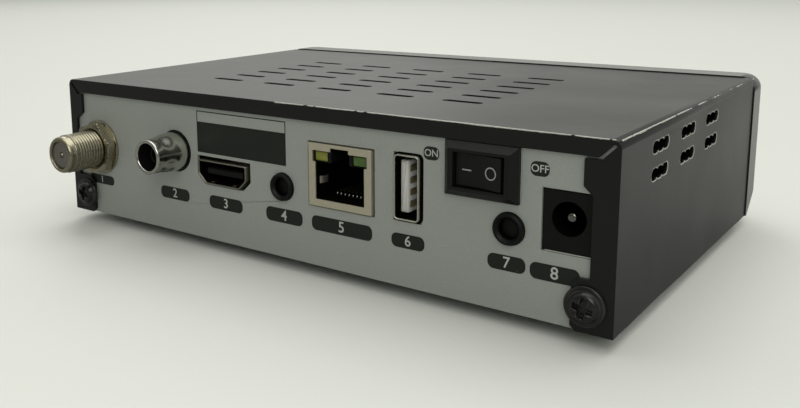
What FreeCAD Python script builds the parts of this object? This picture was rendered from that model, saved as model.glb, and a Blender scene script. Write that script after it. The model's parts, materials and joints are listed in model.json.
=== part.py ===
import FreeCAD, Part
import math
import os
import types

import Sketcher

# A small satellite television receiver, seen by its sockets: a folded black cover over a tray
# whose upturned rear wall carries the sockets, and a moulded front. +Z is up, the sockets look
# along +Y, the front looks along -Y, and the aerial socket is at the +X end. The origin is at
# the middle of the footprint, on the surface that the rubber feet stand on. Millimetres.

SIZES = {
    # case
    "cover_width": 145.0,  # across the folded cover
    "cover_height": 34.5,  # cover's lower edge to its top
    "cover_depth": 91.0,  # rear flange to the seam with the front
    "cover_sheet": 0.8,  # painted steel of the cover
    "cover_bend": 1.6,  # outside radius of the two long folds
    "foot_height": 2.8,  # feet below the tray
    "foot_radius": 5.0,
    "foot_inset": 14.0,  # foot centre from each side of the case
    "tray_sheet": 0.8,  # zinc steel of the tray
    "tray_gap": 0.25,  # tray inside the cover, each side
    "tray_side": 8.0,  # height of the tray's side returns
    # rear flange of the cover
    "flange_top": 3.3,  # depth of the top flange, from the cover's top
    "flange_wide": 6.2,  # upper stretch of the -X side flange, from the case side
    "flange_slim": 4.5,  # middle stretch of the -X side flange
    "aerial_flange_wide": 4.7,  # the same two on the aerial socket's side
    "aerial_flange_slim": 2.4,
    "flange_step": 26.0,  # height where the wide stretch ends
    "ear_width": 7.8,  # screw ear at the bottom of the side flange
    "ear_height": 9.7,
    "ear_slope": 1.3,  # sloped upper corner of the ear
    "ear_corner": 0.9,  # cut lower corner of the ear
    "mitre_gap": 0.4,  # open mitre between top and side flange
    "screw_inset": 5.1,  # cover screw from the case side
    "screw_height": 4.9,  # cover screw above the cover's lower edge
    "screw_shank": 1.4,  # radius
    "screw_head": 3.4,  # radius of the washer head
    "screw_crown": 1.2,  # domed part of the head
    "screw_cross": 3.4,  # length of each arm of the cross recess
    "screw_slit": 0.8,
    "screw_length": 6.0,
    "screw_play": 0.2,  # radial room of a screw in the sheet it passes
    # louvres
    "vent_length": 9.4,
    "vent_width": 2.0,
    "vent_pitch_x": 16.8,
    "vent_pitch_y": 8.35,
    "vent_first_x": 36.1,  # column nearest the aerial socket
    "vent_first_y": 21.7,  # first row from the rear flange
    "side_vent_pitch": 17.0,
    "side_vent_lobe": 3.55,  # each side louvre is three overlapping holes of this length
    "side_vent_width": 2.3,
    "side_vent_first": 20.6,
    "side_vent_high": 30.3,  # upper row above the cover's lower edge
    "side_vent_low": 25.3,
    # front moulding
    "bezel_depth": 11.0,
    "bezel_proud": 0.3,  # front stands proud of the cover
    "bezel_wall": 1.8,
    "bezel_corner": 5.0,  # radius seen from above
    "bezel_edge": 3.5,  # rounding of the front's top edge
    "bezel_slope_height": 9.0,  # sloped cut under the front, up its face
    "bezel_slope_depth": 10.4,  # and back along its bottom
    "bezel_shelf": 5.0,  # floor of the front's hollow, above the case's lower edge
    "bezel_seam": 0.3,  # gap between front and cover
    "window_width": 62.0,
    "window_height": 15.0,
    "window_low": 11.5,  # above the cover's lower edge
    "window_play": 0.1,
    "window_lip": 1.2,  # frame that the window is glued on
    "window_thick": 1.4,
    # front board and keys
    "front_board_face": 6.6,  # board's front behind the front's face
    "front_board_side_gap": 10.5,  # board edge from the cover's side
    "front_board_height": 24.0,
    "front_board_low": 6.0,
    "board_thick": 1.6,
    "boss_radius": 2.4,
    "boss_inset": 4.0,  # boss from the front board's edges
    "small_screw": 1.0,  # radius of the front board's screws
    "small_head": 1.9,
    "small_head_thick": 0.9,
    "key_radius": 3.0,
    "key_play": 0.3,  # radial room in the front
    "key_proud": 0.7,
    "key_flange": 1.0,  # flange wider than the key, radially
    "key_flange_thick": 0.8,
    "key_seat": 0.3,  # flange behind the wall
    "key_travel": 0.5,
    "key_rest_gap": 0.3,  # what is left above the switch when pressed
    "key_height": 19.0,  # key axis above the cover's lower edge
    "key_from_side": 30.5,  # first key from the +X side of the cover
    "key_pitch": 10.0,
    "tact_side": 6.0,
    "tact_height": 2.6,
    "digits_width": 42.0,
    "digits_height": 12.0,
    "digits_gap": 0.3,  # digit module behind the window
    "eye_width": 5.6,
    "eye_height": 6.6,
    "eye_thick": 3.6,
    "eye_x": 26.0,
    "lamp_radius": 1.5,
    "lamp_x": -27.0,
    "lamp_length": 4.2,
    # main board
    "board_top": 13.3,  # above the cover's lower edge
    "board_side_gap": 4.5,  # board edge from the cover's side
    "board_back_gap": 0.4,  # board behind the rear wall
    "board_front_gap": 6.0,  # board short of the seam
    "post_radius": 2.6,
    "post_inset_x": 6.0,
    "post_inset_y": 9.0,
    "link_width": 26.0,
    "link_height": 6.0,
    "link_play": 1.5,
    # aerial socket
    "coax_from_side": 10.6,  # axis from the +X side of the cover
    "coax_z": 17.6,
    "coax_radius": 4.7,
    "coax_neck": 4.3,  # plain radius under the nut
    "coax_relief": 0.4,  # plain stretch in front of the nut
    "coax_reach": 12.0,  # from the cover's rear flange
    "coax_nose": 2.2,  # smooth tapered nose
    "coax_tip": 3.75,  # radius at the very tip
    "coax_core": 3.3,  # radius of the core
    "coax_core_back": 0.5,  # core behind the tip
    "coax_pin_hole": 0.6,
    "coax_shoulder": 6.2,  # half width of the plate behind the rear wall
    "coax_shoulder_thick": 1.4,
    "coax_play": 0.15,
    "nut_flats": 12.0,
    "nut_thick": 2.4,
    "nut_play": 0.03,
    "washer_radius": 6.9,
    "washer_thick": 0.6,
    "tuner_width": 12.2,
    "tuner_depth": 34.0,
    "tuner_height": 13.0,
    "tin_sheet": 0.5,
    "fit_gap": 0.02,  # pressed parts
    # digital audio socket
    "rca_from_side": 106.5,  # this and the places below, from the -X side of the cover
    "rca_z": 19.9,
    "rca_reach": 8.4,
    "rca_radius": 4.1,
    "rca_bore": 3.0,
    "rca_collar": 4.6,
    "rca_collar_reach": 4.8,
    "rca_ring": 4.9,
    "rca_ring_proud": 0.3,
    "rca_hole_play": 0.1,
    "rca_block_width": 10.4,
    "rca_block_depth": 11.0,
    "rca_pin_out": 2.1,
    "rca_pin_bore": 1.6,
    "rca_pin_reach": 5.4,
    "rca_floor": 2.0,  # black floor of the socket, from the flange
    # picture socket
    "hdmi_from_side": 91.45,
    "hdmi_width": 15.0,
    "hdmi_height": 5.6,
    "hdmi_shoulder": 2.2,  # height of the slanted lower corners
    "hdmi_slant": 2.3,
    "hdmi_shell": 0.4,
    "hdmi_depth": 12.0,
    "hdmi_back": 0.5,  # face behind the cover's rear flange
    "hdmi_hole_near": 1.2,  # opening beyond the shell, toward the switch
    "hdmi_hole_far": 0.4,  # toward the aerial socket
    "hdmi_hole_above": 0.9,
    "hdmi_hole_below": 0.15,
    "hdmi_tongue_width": 11.2,
    "hdmi_tongue_thick": 1.4,
    "hdmi_tongue_back": 0.9,
    # round jacks
    "jack_av_from_side": 73.4,
    "jack_data_from_side": 20.0,
    "jack_z": 15.9,
    "jack_radius": 3.0,
    "jack_bore": 1.8,
    "jack_bore_depth": 10.0,
    "jack_proud": 1.0,  # nose out of the rear wall
    "jack_width": 6.4,
    "jack_depth": 11.5,
    "jack_hole_play": 0.12,
    # network socket
    "net_from_side": 57.8,
    "net_width": 15.9,
    "net_height": 13.4,
    "net_depth": 20.0,
    "net_proud": 0.5,
    "net_shell": 0.4,
    "net_hole_play": 0.5,
    "net_mouth": 12.4,
    "net_mouth_low": 1.5,
    "net_mouth_high": 9.5,
    "net_mouth_depth": 13.0,
    "net_lamp_width": 4.6,
    "net_lamp_high": 11.9,
    "net_lamp_length": 8.0,
    "net_latch": 4.6,
    "net_latch_high": 12.7,
    "net_wire": 0.2,
    "net_pitch": 1.02,
    "net_wire_low": 0.9,
    # memory socket
    "usb_from_side": 41.65,
    "usb_width": 5.7,
    "usb_height": 13.1,
    "usb_low": 13.75,
    "usb_depth": 14.0,
    "usb_proud": 0.6,
    "usb_shell": 0.3,
    "usb_hole_play": 0.35,
    "usb_tongue_thick": 1.85,
    "usb_tongue_height": 10.6,
    "usb_tongue_side": 0.5,
    "usb_tongue_back": 1.2,
    "usb_strip": 1.0,
    "usb_pitch": 2.4,
    "usb_strip_thick": 0.15,
    # power switch
    "switch_from_side": 25.5,
    "switch_z": 25.9,
    "switch_width": 15.0,
    "switch_height": 10.45,
    "switch_rim": 2.0,  # frame out of the rear wall
    "switch_bevel": 1.3,
    "switch_body_width": 13.2,
    "switch_body_height": 9.0,
    "switch_body_depth": 10.5,
    "switch_hole_play": 0.15,
    "rocker_length": 9.5,
    "rocker_height": 6.1,
    "rocker_room": 0.45,
    "rocker_side_room": 0.3,
    "rocker_drop": 0.85,  # middle of the rocker's face below the rim
    "rocker_depth": 3.6,
    "rocker_axle_back": 1.2,  # axle behind the rocker's face
    "rocker_axle": 0.9,
    "rocker_axle_play": 0.05,
    "rocker_axle_reach": 0.6,
    "rocker_dish": 0.35,  # ends of the face stand this far above its middle
    "rocker_throw": 12.0,  # degrees from ON to OFF
    "rocker_well": 7.4,
    "terminal_width": 4.8,
    "terminal_thick": 0.8,
    "terminal_length": 6.5,
    "terminal_pitch": 7.0,
    # low voltage socket
    "dc_from_side": 9.2,
    "dc_hole_width": 9.4,
    "dc_hole_height": 11.5,
    "dc_width": 9.0,
    "dc_height": 11.0,
    "dc_depth": 13.5,
    "dc_back": 1.2,  # face behind the cover's rear flange
    "dc_bore_shift": 0.2,  # hole beside the block's middle
    "dc_bore_z": 19.4,
    "dc_bore": 3.15,
    "dc_bore_depth": 9.5,
    "dc_pin": 1.0,
    "dc_pin_back": 1.0,
    # parts on the main board
    "chip_side": 15.0,
    "chip_thick": 1.5,
    "chip_x": 8.0,
    "chip_y": 46.0,
    "sink_side": 24.0,
    "sink_base": 1.6,
    "sink_height": 9.0,
    "fin_thick": 1.2,
    "memory_width": 12.0,
    "memory_depth": 8.0,
    "memory_thick": 1.1,
    "store_side": 6.0,
    "store_thick": 1.7,
    "coil_side": 7.0,
    "coil_thick": 4.0,
    "can_radius": 3.2,
    "can_height": 11.0,
    "can_small_radius": 2.5,
    "isolator_width": 13.0,
    "isolator_depth": 7.5,
    "isolator_thick": 4.2,
    "crystal_length": 10.0,
    "crystal_width": 4.4,
    "crystal_thick": 3.4,
}

FIN_COUNT = 7
NET_WIRES = 8
USB_STRIPS = 4
VENT_ROWS = 6
VENT_COLUMNS = 5
SIDE_VENTS = 3
KEY_NAMES = ("standby_key", "channel_down_key", "channel_up_key")
Y_AXIS = FreeCAD.Rotation(FreeCAD.Vector(1, 0, 0), -90)
NO_TURN = FreeCAD.Rotation()


class Size:
    """A length that carries its value and the sheet expression it comes from."""

    def __init__(self, text, value):
        self.text = text
        self.value = float(value)

    def __add__(self, other):
        other = as_size(other)
        return Size("(%s + %s)" % (self.text, other.text), self.value + other.value)

    def __sub__(self, other):
        other = as_size(other)
        return Size("(%s - %s)" % (self.text, other.text), self.value - other.value)

    def __mul__(self, other):
        other = as_size(other)
        return Size("(%s * %s)" % (self.text, other.text), self.value * other.value)

    def __truediv__(self, other):
        other = as_size(other)
        return Size("(%s / %s)" % (self.text, other.text), self.value / other.value)

    def __neg__(self):
        return Size("(0 - %s)" % self.text, -self.value)

    def __radd__(self, other):
        return as_size(other) + self

    def __rsub__(self, other):
        return as_size(other) - self

    def __rmul__(self, other):
        return as_size(other) * self


def as_size(number):
    return number if isinstance(number, Size) else Size(repr(float(number)), number)


doc = FreeCAD.newDocument("receiver")
sheet = doc.addObject("Spreadsheet::Sheet", "sizes")
for row, (alias, number) in enumerate(SIZES.items(), start=1):
    sheet.set("A%d" % row, alias)
    sheet.set("B%d" % row, str(number))
    sheet.setAlias("B%d" % row, alias)
doc.recompute()
s = types.SimpleNamespace(**{name: Size("sizes." + name, number) for name, number in SIZES.items()})

# Places that follow from the sizes
side_x = s.cover_width / 2
s.coax_x = side_x - s.coax_from_side
s.rca_x = s.rca_from_side - side_x
s.hdmi_x = s.hdmi_from_side - side_x
s.jack_av_x = s.jack_av_from_side - side_x
s.net_x = s.net_from_side - side_x
s.usb_x = s.usb_from_side - side_x
s.switch_x = s.switch_from_side - side_x
s.jack_data_x = s.jack_data_from_side - side_x
s.dc_x = s.dc_from_side - side_x
s.dc_bore_x = s.dc_x - s.dc_bore_shift
s.key_first_x = side_x - s.key_from_side
s.board_width = s.cover_width - s.board_side_gap * 2
s.front_board_width = s.cover_width - s.front_board_side_gap * 2
base = s.foot_height
rear = (s.cover_depth + s.bezel_seam + s.bezel_depth + s.key_proud - s.coax_reach) / 2
top = base + s.cover_height
seam = rear - s.cover_depth
front = seam - s.bezel_seam - s.bezel_depth
wall_face = rear - s.cover_sheet
wall_back = wall_face - s.tray_sheet
tray_half = s.cover_width / 2 - s.cover_sheet - s.tray_gap
deck = base + s.board_top
floor_top = base + s.tray_sheet
board_back = wall_back - s.board_back_gap
front_board = front + s.front_board_face
finished = []


def bind(thing, prop, size):
    thing.setExpression(prop, as_size(size).text)


def place(thing, x, y, z, turn=NO_TURN):
    thing.Placement = FreeCAD.Placement(FreeCAD.Vector(), turn)
    for axis, size in zip("xyz", (x, y, z)):
        bind(thing, "Placement.Base." + axis, size)
    return thing


def box(name, x, y, z, dx, dy, dz):
    """A block from its low corner."""
    thing = doc.addObject("Part::Box", name)
    bind(thing, "Length", dx)
    bind(thing, "Width", dy)
    bind(thing, "Height", dz)
    return place(thing, x, y, z)


def bar(name, middle, y, z, dx, dy, dz):
    """A block centred on x."""
    return box(name, middle - as_size(dx) / 2, y, z, dx, dy, dz)


def rod(name, x, y, z, radius, length, turn=Y_AXIS):
    """A cylinder that starts at y and runs to the rear, or up with NO_TURN."""
    thing = doc.addObject("Part::Cylinder", name)
    bind(thing, "Radius", radius)
    bind(thing, "Height", length)
    return place(thing, x, y, z, turn)


def cone(name, x, y, z, radius_low, radius_high, length):
    thing = doc.addObject("Part::Cone", name)
    bind(thing, "Radius1", radius_low)
    bind(thing, "Radius2", radius_high)
    bind(thing, "Height", length)
    return place(thing, x, y, z, Y_AXIS)


def fuse(name, *things):
    thing = doc.addObject("Part::MultiFuse", name)
    thing.Shapes = list(things)
    thing.Refine = True
    return thing


def cut(name, solid, *tools):
    thing = doc.addObject("Part::Cut", name)
    thing.Base = solid
    thing.Tool = tools[0] if len(tools) == 1 else fuse(name + "_tools", *tools)
    return thing


def group(name, *things):
    thing = doc.addObject("Part::Compound", name)
    thing.Links = list(things)
    return thing


def finish(label, thing):
    """Name a finished sub-part after its node."""
    thing.Label = label
    finished.append(thing)
    return thing


def make_body(label):
    return doc.addObject("PartDesign::Body", label + "_body")


def sketch(body, name, role, offset):
    """A sketch on one of the body's own origin planes, moved along the plane's normal."""
    thing = body.newObject("Sketcher::SketchObject", name)
    plane = [feature for feature in body.Origin.OriginFeatures if feature.Role == role][0]
    thing.AttachmentSupport = [(plane, "")]
    thing.MapMode = "FlatFace"
    bind(thing, "AttachmentOffset.Base.z", offset)
    return thing


def fix_point(thing, geometry, point, x, y):
    for kind, size in (("DistanceX", as_size(x)), ("DistanceY", as_size(y))):
        index = thing.addConstraint(Sketcher.Constraint(kind, -1, 1, geometry, point, size.value))
        bind(thing, "Constraints[%d]" % index, size)


def outline(thing, *points):
    """A closed outline of straight edges through points bound to the sheet."""
    first = thing.GeometryCount
    corners = [FreeCAD.Vector(as_size(x).value, as_size(y).value, 0) for x, y in points]
    for here, after in zip(corners, corners[1:] + corners[:1]):
        thing.addGeometry(Part.LineSegment(here, after), False)
    count = len(corners)
    for step in range(count):
        after = first + (step + 1) % count
        thing.addConstraint(Sketcher.Constraint("Coincident", first + step, 2, after, 1))
        fix_point(thing, first + step, 1, *points[step])


def rectangle(thing, left, low, right, high):
    outline(thing, (left, low), (right, low), (right, high), (left, high))


def centred(thing, middle, low, width, height):
    half = as_size(width) / 2
    rectangle(thing, middle - half, low, middle + half, as_size(low) + height)


def ring(thing, x, y, radius):
    centre = FreeCAD.Vector(as_size(x).value, as_size(y).value, 0)
    circle = Part.Circle(centre, FreeCAD.Vector(0, 0, 1), as_size(radius).value)
    index = thing.addGeometry(circle, False)
    fix_point(thing, index, 3, x, y)
    limit = thing.addConstraint(Sketcher.Constraint("Radius", index, as_size(radius).value))
    bind(thing, "Constraints[%d]" % limit, radius)


def slot(thing, x, y, length, width):
    """A round-ended slot along the sketch's first axis."""
    radius = width / 2
    left, right = x - length / 2 + radius, x + length / 2 - radius
    r = radius.value
    start, end, level = left.value, right.value, as_size(y).value
    normal = FreeCAD.Vector(0, 0, 1)
    half_turn = math.pi
    first = thing.GeometryCount
    upper_ends = FreeCAD.Vector(start, level + r, 0), FreeCAD.Vector(end, level + r, 0)
    lower_ends = FreeCAD.Vector(end, level - r, 0), FreeCAD.Vector(start, level - r, 0)
    thing.addGeometry(Part.LineSegment(*upper_ends))
    right_circle = Part.Circle(FreeCAD.Vector(end, level, 0), normal, r)
    thing.addGeometry(Part.ArcOfCircle(right_circle, -half_turn / 2, half_turn / 2))
    thing.addGeometry(Part.LineSegment(*lower_ends))
    left_circle = Part.Circle(FreeCAD.Vector(start, level, 0), normal, r)
    thing.addGeometry(Part.ArcOfCircle(left_circle, half_turn / 2, 3 * half_turn / 2))
    upper, right_end, lower, left_end = range(first, first + 4)
    thing.addConstraint(Sketcher.Constraint("Tangent", upper, 2, right_end, 2))
    thing.addConstraint(Sketcher.Constraint("Tangent", right_end, 1, lower, 1))
    thing.addConstraint(Sketcher.Constraint("Tangent", lower, 2, left_end, 2))
    thing.addConstraint(Sketcher.Constraint("Tangent", left_end, 1, upper, 1))
    thing.addConstraint(Sketcher.Constraint("Equal", right_end, left_end))
    fix_point(thing, right_end, 3, right, y)
    fix_point(thing, left_end, 3, left, y)
    limit = thing.addConstraint(Sketcher.Constraint("Radius", right_end, r))
    bind(thing, "Constraints[%d]" % limit, radius)


def pad(body, profile, length):
    thing = body.newObject("PartDesign::Pad", profile.Name + "_pad")
    thing.Profile = profile
    bind(thing, "Length", length)
    doc.recompute()
    return thing


def pocket(body, profile, length):
    """Cut against the sketch's normal, and make sure that something went."""
    before = body.Shape.Volume
    thing = body.newObject("PartDesign::Pocket", profile.Name + "_pocket")
    thing.Profile = profile
    bind(thing, "Length", length)
    doc.recompute()
    if not body.Shape.Volume < before:
        raise ValueError(profile.Name + " cuts nothing")
    return thing


def edges_where(shape, test):
    return ["Edge%d" % number for number, edge in enumerate(shape.Edges, start=1) if test(edge)]


def lies_on(edge, x=None, y=None, z=None):
    """True where every end of a straight edge has these coordinates."""
    near = 0.001
    points = [vertex.Point for vertex in edge.Vertexes]
    if len(points) < 2:
        return False
    given = [(axis, size) for axis, size in (("x", x), ("y", y), ("z", z)) if size is not None]
    wanted = [(axis, as_size(size).value) for axis, size in given]
    return all(abs(getattr(point, axis) - value) < near for point in points for axis, value in wanted)


def dress(body, kind, name, edges, prop, size):
    """Round or chamfer edges of the body as it stands."""
    earlier = body.Tip
    thing = body.newObject("PartDesign::" + kind, name)
    thing.Base = (earlier, edges)
    bind(thing, prop, size)
    doc.recompute()
    return thing


def top_cover():
    """The folded cover with its rear flange, screw ears and louvres."""
    body = make_body("top_cover")
    half = s.cover_width / 2
    block = sketch(body, "cover_block", "XZ_Plane", -rear)
    rectangle(block, -half, base, half, top)
    pad(body, block, s.cover_depth)
    inside = sketch(body, "cover_inside", "XZ_Plane", -seam)
    rectangle(inside, s.cover_sheet - half, base - s.cover_sheet, half - s.cover_sheet, top - s.cover_sheet)
    pocket(body, inside, s.cover_depth)
    shape = body.Shape
    folds = edges_where(shape, lambda e: lies_on(e, x=half, z=top) or lies_on(e, x=-half, z=top))
    dress(body, "Fillet", "cover_folds", folds, "Radius", s.cover_bend)

    flange = sketch(body, "cover_flange", "XZ_Plane", -rear)
    skin = s.cover_sheet / 2
    mitre_x = half - s.flange_top - s.mitre_gap
    outline(flange, (-mitre_x, top - s.flange_top), (mitre_x, top - s.flange_top),
            (half - skin - s.mitre_gap, top - skin), (skin + s.mitre_gap - half, top - skin))
    flange_sides = ((1, s.aerial_flange_wide, s.aerial_flange_slim), (-1, s.flange_wide, s.flange_slim))
    for side, wide, slim in flange_sides:
        edge = half - skin
        outline(flange, (side * edge, base), (side * edge, top - skin - s.mitre_gap),
                (side * (half - s.flange_top), top - s.flange_top - s.mitre_gap),
                (side * (half - wide), top - s.flange_top - s.mitre_gap),
                (side * (half - wide), base + s.flange_step),
                (side * (half - slim), base + s.flange_step - s.flange_top / 2),
                (side * (half - slim), base + s.ear_height),
                (side * (half - s.ear_width + s.ear_slope), base + s.ear_height),
                (side * (half - s.ear_width), base + s.ear_height - s.ear_slope),
                (side * (half - s.ear_width), base + s.ear_corner),
                (side * (half - s.ear_width + s.ear_corner), base))
    pad(body, flange, s.cover_sheet)

    holes = sketch(body, "ear_holes", "XZ_Plane", s.cover_sheet - rear)
    for side in (1, -1):
        ring(holes, side * (half - s.screw_inset), base + s.screw_height, s.screw_shank + s.screw_play)
    pocket(body, holes, s.cover_sheet * 2)

    louvres = sketch(body, "top_louvres", "XY_Plane", top)
    last_x = s.vent_first_x - s.vent_pitch_x * (VENT_COLUMNS - 1)
    for row in range(VENT_ROWS):
        slot(louvres, last_x, rear - s.vent_first_y - s.vent_pitch_y * row, s.vent_length, s.vent_width)
    first_column = pocket(body, louvres, s.cover_sheet * 2)
    columns = body.newObject("PartDesign::LinearPattern", "louvre_columns")
    columns.Originals = [first_column]
    columns.Direction = (louvres, ["H_Axis"])
    columns.Occurrences = VENT_COLUMNS
    bind(columns, "Length", s.vent_pitch_x * (VENT_COLUMNS - 1))
    body.Tip = columns
    doc.recompute()

    lobe_shift = (s.vent_length - s.side_vent_lobe) / 2
    for name, shifts in (("louvre_middles", (0,)), ("louvre_ends", (1, -1))):
        sides = sketch(body, name, "YZ_Plane", half + s.cover_sheet)
        for column in range(SIDE_VENTS):
            y = rear - s.side_vent_first - s.side_vent_pitch * column
            for height in (s.side_vent_low, s.side_vent_high):
                for shift in shifts:
                    slot(sides, y + lobe_shift * shift, base + height, s.side_vent_lobe, s.side_vent_width)
        pocket(body, sides, s.cover_width + s.cover_sheet * 2)
    finish("top_cover", body)


def base_chassis():
    """The tray: a floor, a rear wall with the socket holes, a front wall and low sides."""
    body = make_body("base_chassis")
    depth = wall_face - seam - s.tray_gap
    floor = sketch(body, "tray_floor", "XY_Plane", base)
    rectangle(floor, -tray_half, wall_face - depth, tray_half, wall_face)
    pad(body, floor, s.tray_sheet)
    wall_top = top - s.cover_sheet - s.tray_gap
    wall = sketch(body, "rear_wall", "XZ_Plane", -wall_face)
    rectangle(wall, -tray_half, base, tray_half, wall_top)
    pad(body, wall, s.tray_sheet)
    returns = sketch(body, "tray_sides", "XZ_Plane", -wall_face)
    for side in (1, -1):
        rectangle(returns, side * (tray_half - s.tray_sheet), base, side * tray_half, base + s.tray_side)
    pad(body, returns, depth)
    front_wall = sketch(body, "tray_front", "XZ_Plane", depth - wall_face - s.tray_sheet)
    rectangle(front_wall, -tray_half, base, tray_half, wall_top - s.tray_side)
    pad(body, front_wall, s.tray_sheet)

    sockets = sketch(body, "socket_holes", "XZ_Plane", s.tray_sheet * 2 - wall_face)
    ring(sockets, s.coax_x, base + s.coax_z, s.coax_radius + s.coax_play)
    ring(sockets, s.rca_x, base + s.rca_z, s.rca_ring + s.rca_hole_play)
    outline(sockets, *hdmi_points(s.hdmi_hole_far, s.hdmi_hole_near, s.hdmi_hole_above, s.hdmi_hole_below))
    for middle in (s.jack_av_x, s.jack_data_x):
        ring(sockets, middle, base + s.jack_z, s.jack_radius + s.jack_hole_play)
    play = s.net_hole_play
    centred(sockets, s.net_x, deck - play / 2, s.net_width + play * 2, s.net_height + play)
    play = s.usb_hole_play
    centred(sockets, s.usb_x, base + s.usb_low - play, s.usb_width + play * 2, s.usb_height + play * 2)
    width = s.switch_body_width + s.switch_hole_play * 2
    height = s.switch_body_height + s.switch_hole_play * 2
    centred(sockets, s.switch_x, base + s.switch_z - height / 2, width, height)
    centred(sockets, s.dc_x, deck - (s.dc_hole_height - s.dc_height) / 2, s.dc_hole_width, s.dc_hole_height)
    for side in (1, -1):
        screw_x = side * (s.cover_width / 2 - s.screw_inset)
        ring(sockets, screw_x, base + s.screw_height, s.screw_shank + s.fit_gap)
    pocket(body, sockets, s.tray_sheet * 3)

    link = sketch(body, "link_window", "XZ_Plane", -seam)
    width = s.link_width + s.link_play * 2
    centred(link, as_size(0), deck - s.link_play, width, s.link_height + s.link_play * 2)
    pocket(body, link, s.tray_sheet * 3)
    finish("base_chassis", body)


def hdmi_points(far, near, above, below):
    """The socket's outline, a rectangle with slanted lower corners, grown on each side."""
    left = s.hdmi_x - s.hdmi_width / 2 - near
    right = s.hdmi_x + s.hdmi_width / 2 + far
    low = deck - below
    high = deck + s.hdmi_height + above
    return [(left + s.hdmi_slant, low), (right - s.hdmi_slant, low), (right, low + s.hdmi_shoulder),
            (right, high), (left, high), (left, low + s.hdmi_shoulder)]


def front_bezel():
    """The moulded front with its rounded corners, window frame, key holes and board bosses."""
    body = make_body("front_bezel")
    half = s.cover_width / 2 + s.bezel_proud
    high = top + s.bezel_proud
    block = sketch(body, "bezel_block", "XZ_Plane", s.bezel_seam - seam)
    rectangle(block, -half, base, half, high)
    pad(body, block, s.bezel_depth)
    shape = body.Shape
    corners = edges_where(shape, lambda e: lies_on(e, x=half, y=front) or lies_on(e, x=-half, y=front))
    dress(body, "Fillet", "bezel_corners", corners, "Radius", s.bezel_corner)
    upper = edges_where(body.Shape, lambda e: lies_on(e, y=front, z=high))
    dress(body, "Fillet", "bezel_upper_edge", upper, "Radius", s.bezel_edge)

    slope = sketch(body, "bezel_slope", "YZ_Plane", half + s.bezel_wall)
    slope_top = base + s.bezel_slope_height
    slope_back = front + s.bezel_slope_depth
    below = base - s.bezel_slope_height / 4
    ahead = front - s.bezel_slope_depth / 4
    outline(slope, (ahead, below), (slope_back + s.bezel_slope_depth / 4, below),
            (ahead, slope_top + s.bezel_slope_height / 4))
    pocket(body, slope, (half + s.bezel_wall) * 2)

    inside = sketch(body, "bezel_inside", "XZ_Plane", -(front + s.bezel_wall))
    hollow_width = (half - s.bezel_corner * 0.75) * 2
    centred(inside, as_size(0), slope_top, hollow_width, high - slope_top - s.bezel_wall)
    pocket(body, inside, s.bezel_depth)
    shelf = sketch(body, "bezel_shelf", "XZ_Plane", s.board_thick / 2 - front_board)
    centred(shelf, as_size(0), base + s.bezel_shelf, hollow_width, s.bezel_slope_height - s.bezel_shelf)
    pocket(body, shelf, s.bezel_depth)
    recess = sketch(body, "window_recess", "XZ_Plane", -front)
    centred(recess, as_size(0), base + s.window_low, s.window_width, s.window_height)
    pocket(body, recess, s.window_thick)
    sight = sketch(body, "window_sight", "XZ_Plane", -front)
    centred(sight, as_size(0), base + s.window_low + s.window_lip, s.window_width - s.window_lip * 2,
            s.window_height - s.window_lip * 2)
    pocket(body, sight, s.bezel_wall * 2)
    keys = sketch(body, "key_holes", "XZ_Plane", -front)
    for step in range(len(KEY_NAMES)):
        ring(keys, s.key_first_x + s.key_pitch * step, base + s.key_height, s.key_radius + s.key_play)
    pocket(body, keys, s.bezel_wall * 2)
    bosses = sketch(body, "board_bosses", "XZ_Plane", -front_board)
    for x, z in boss_places():
        ring(bosses, x, z, s.boss_radius)
    pad(body, bosses, s.front_board_face - s.bezel_wall)
    drills = sketch(body, "boss_holes", "XZ_Plane", -(front + s.bezel_wall))
    for x, z in boss_places():
        ring(drills, x, z, s.small_screw + s.fit_gap)
    pocket(body, drills, s.front_board_face)
    finish("front_bezel", body)


def boss_places():
    half = s.front_board_width / 2 - s.boss_inset
    low = base + s.front_board_low + s.boss_inset
    high = base + s.front_board_low + s.front_board_height - s.boss_inset
    return [(side * half, z) for side in (1, -1) for z in (low, high)]


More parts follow.
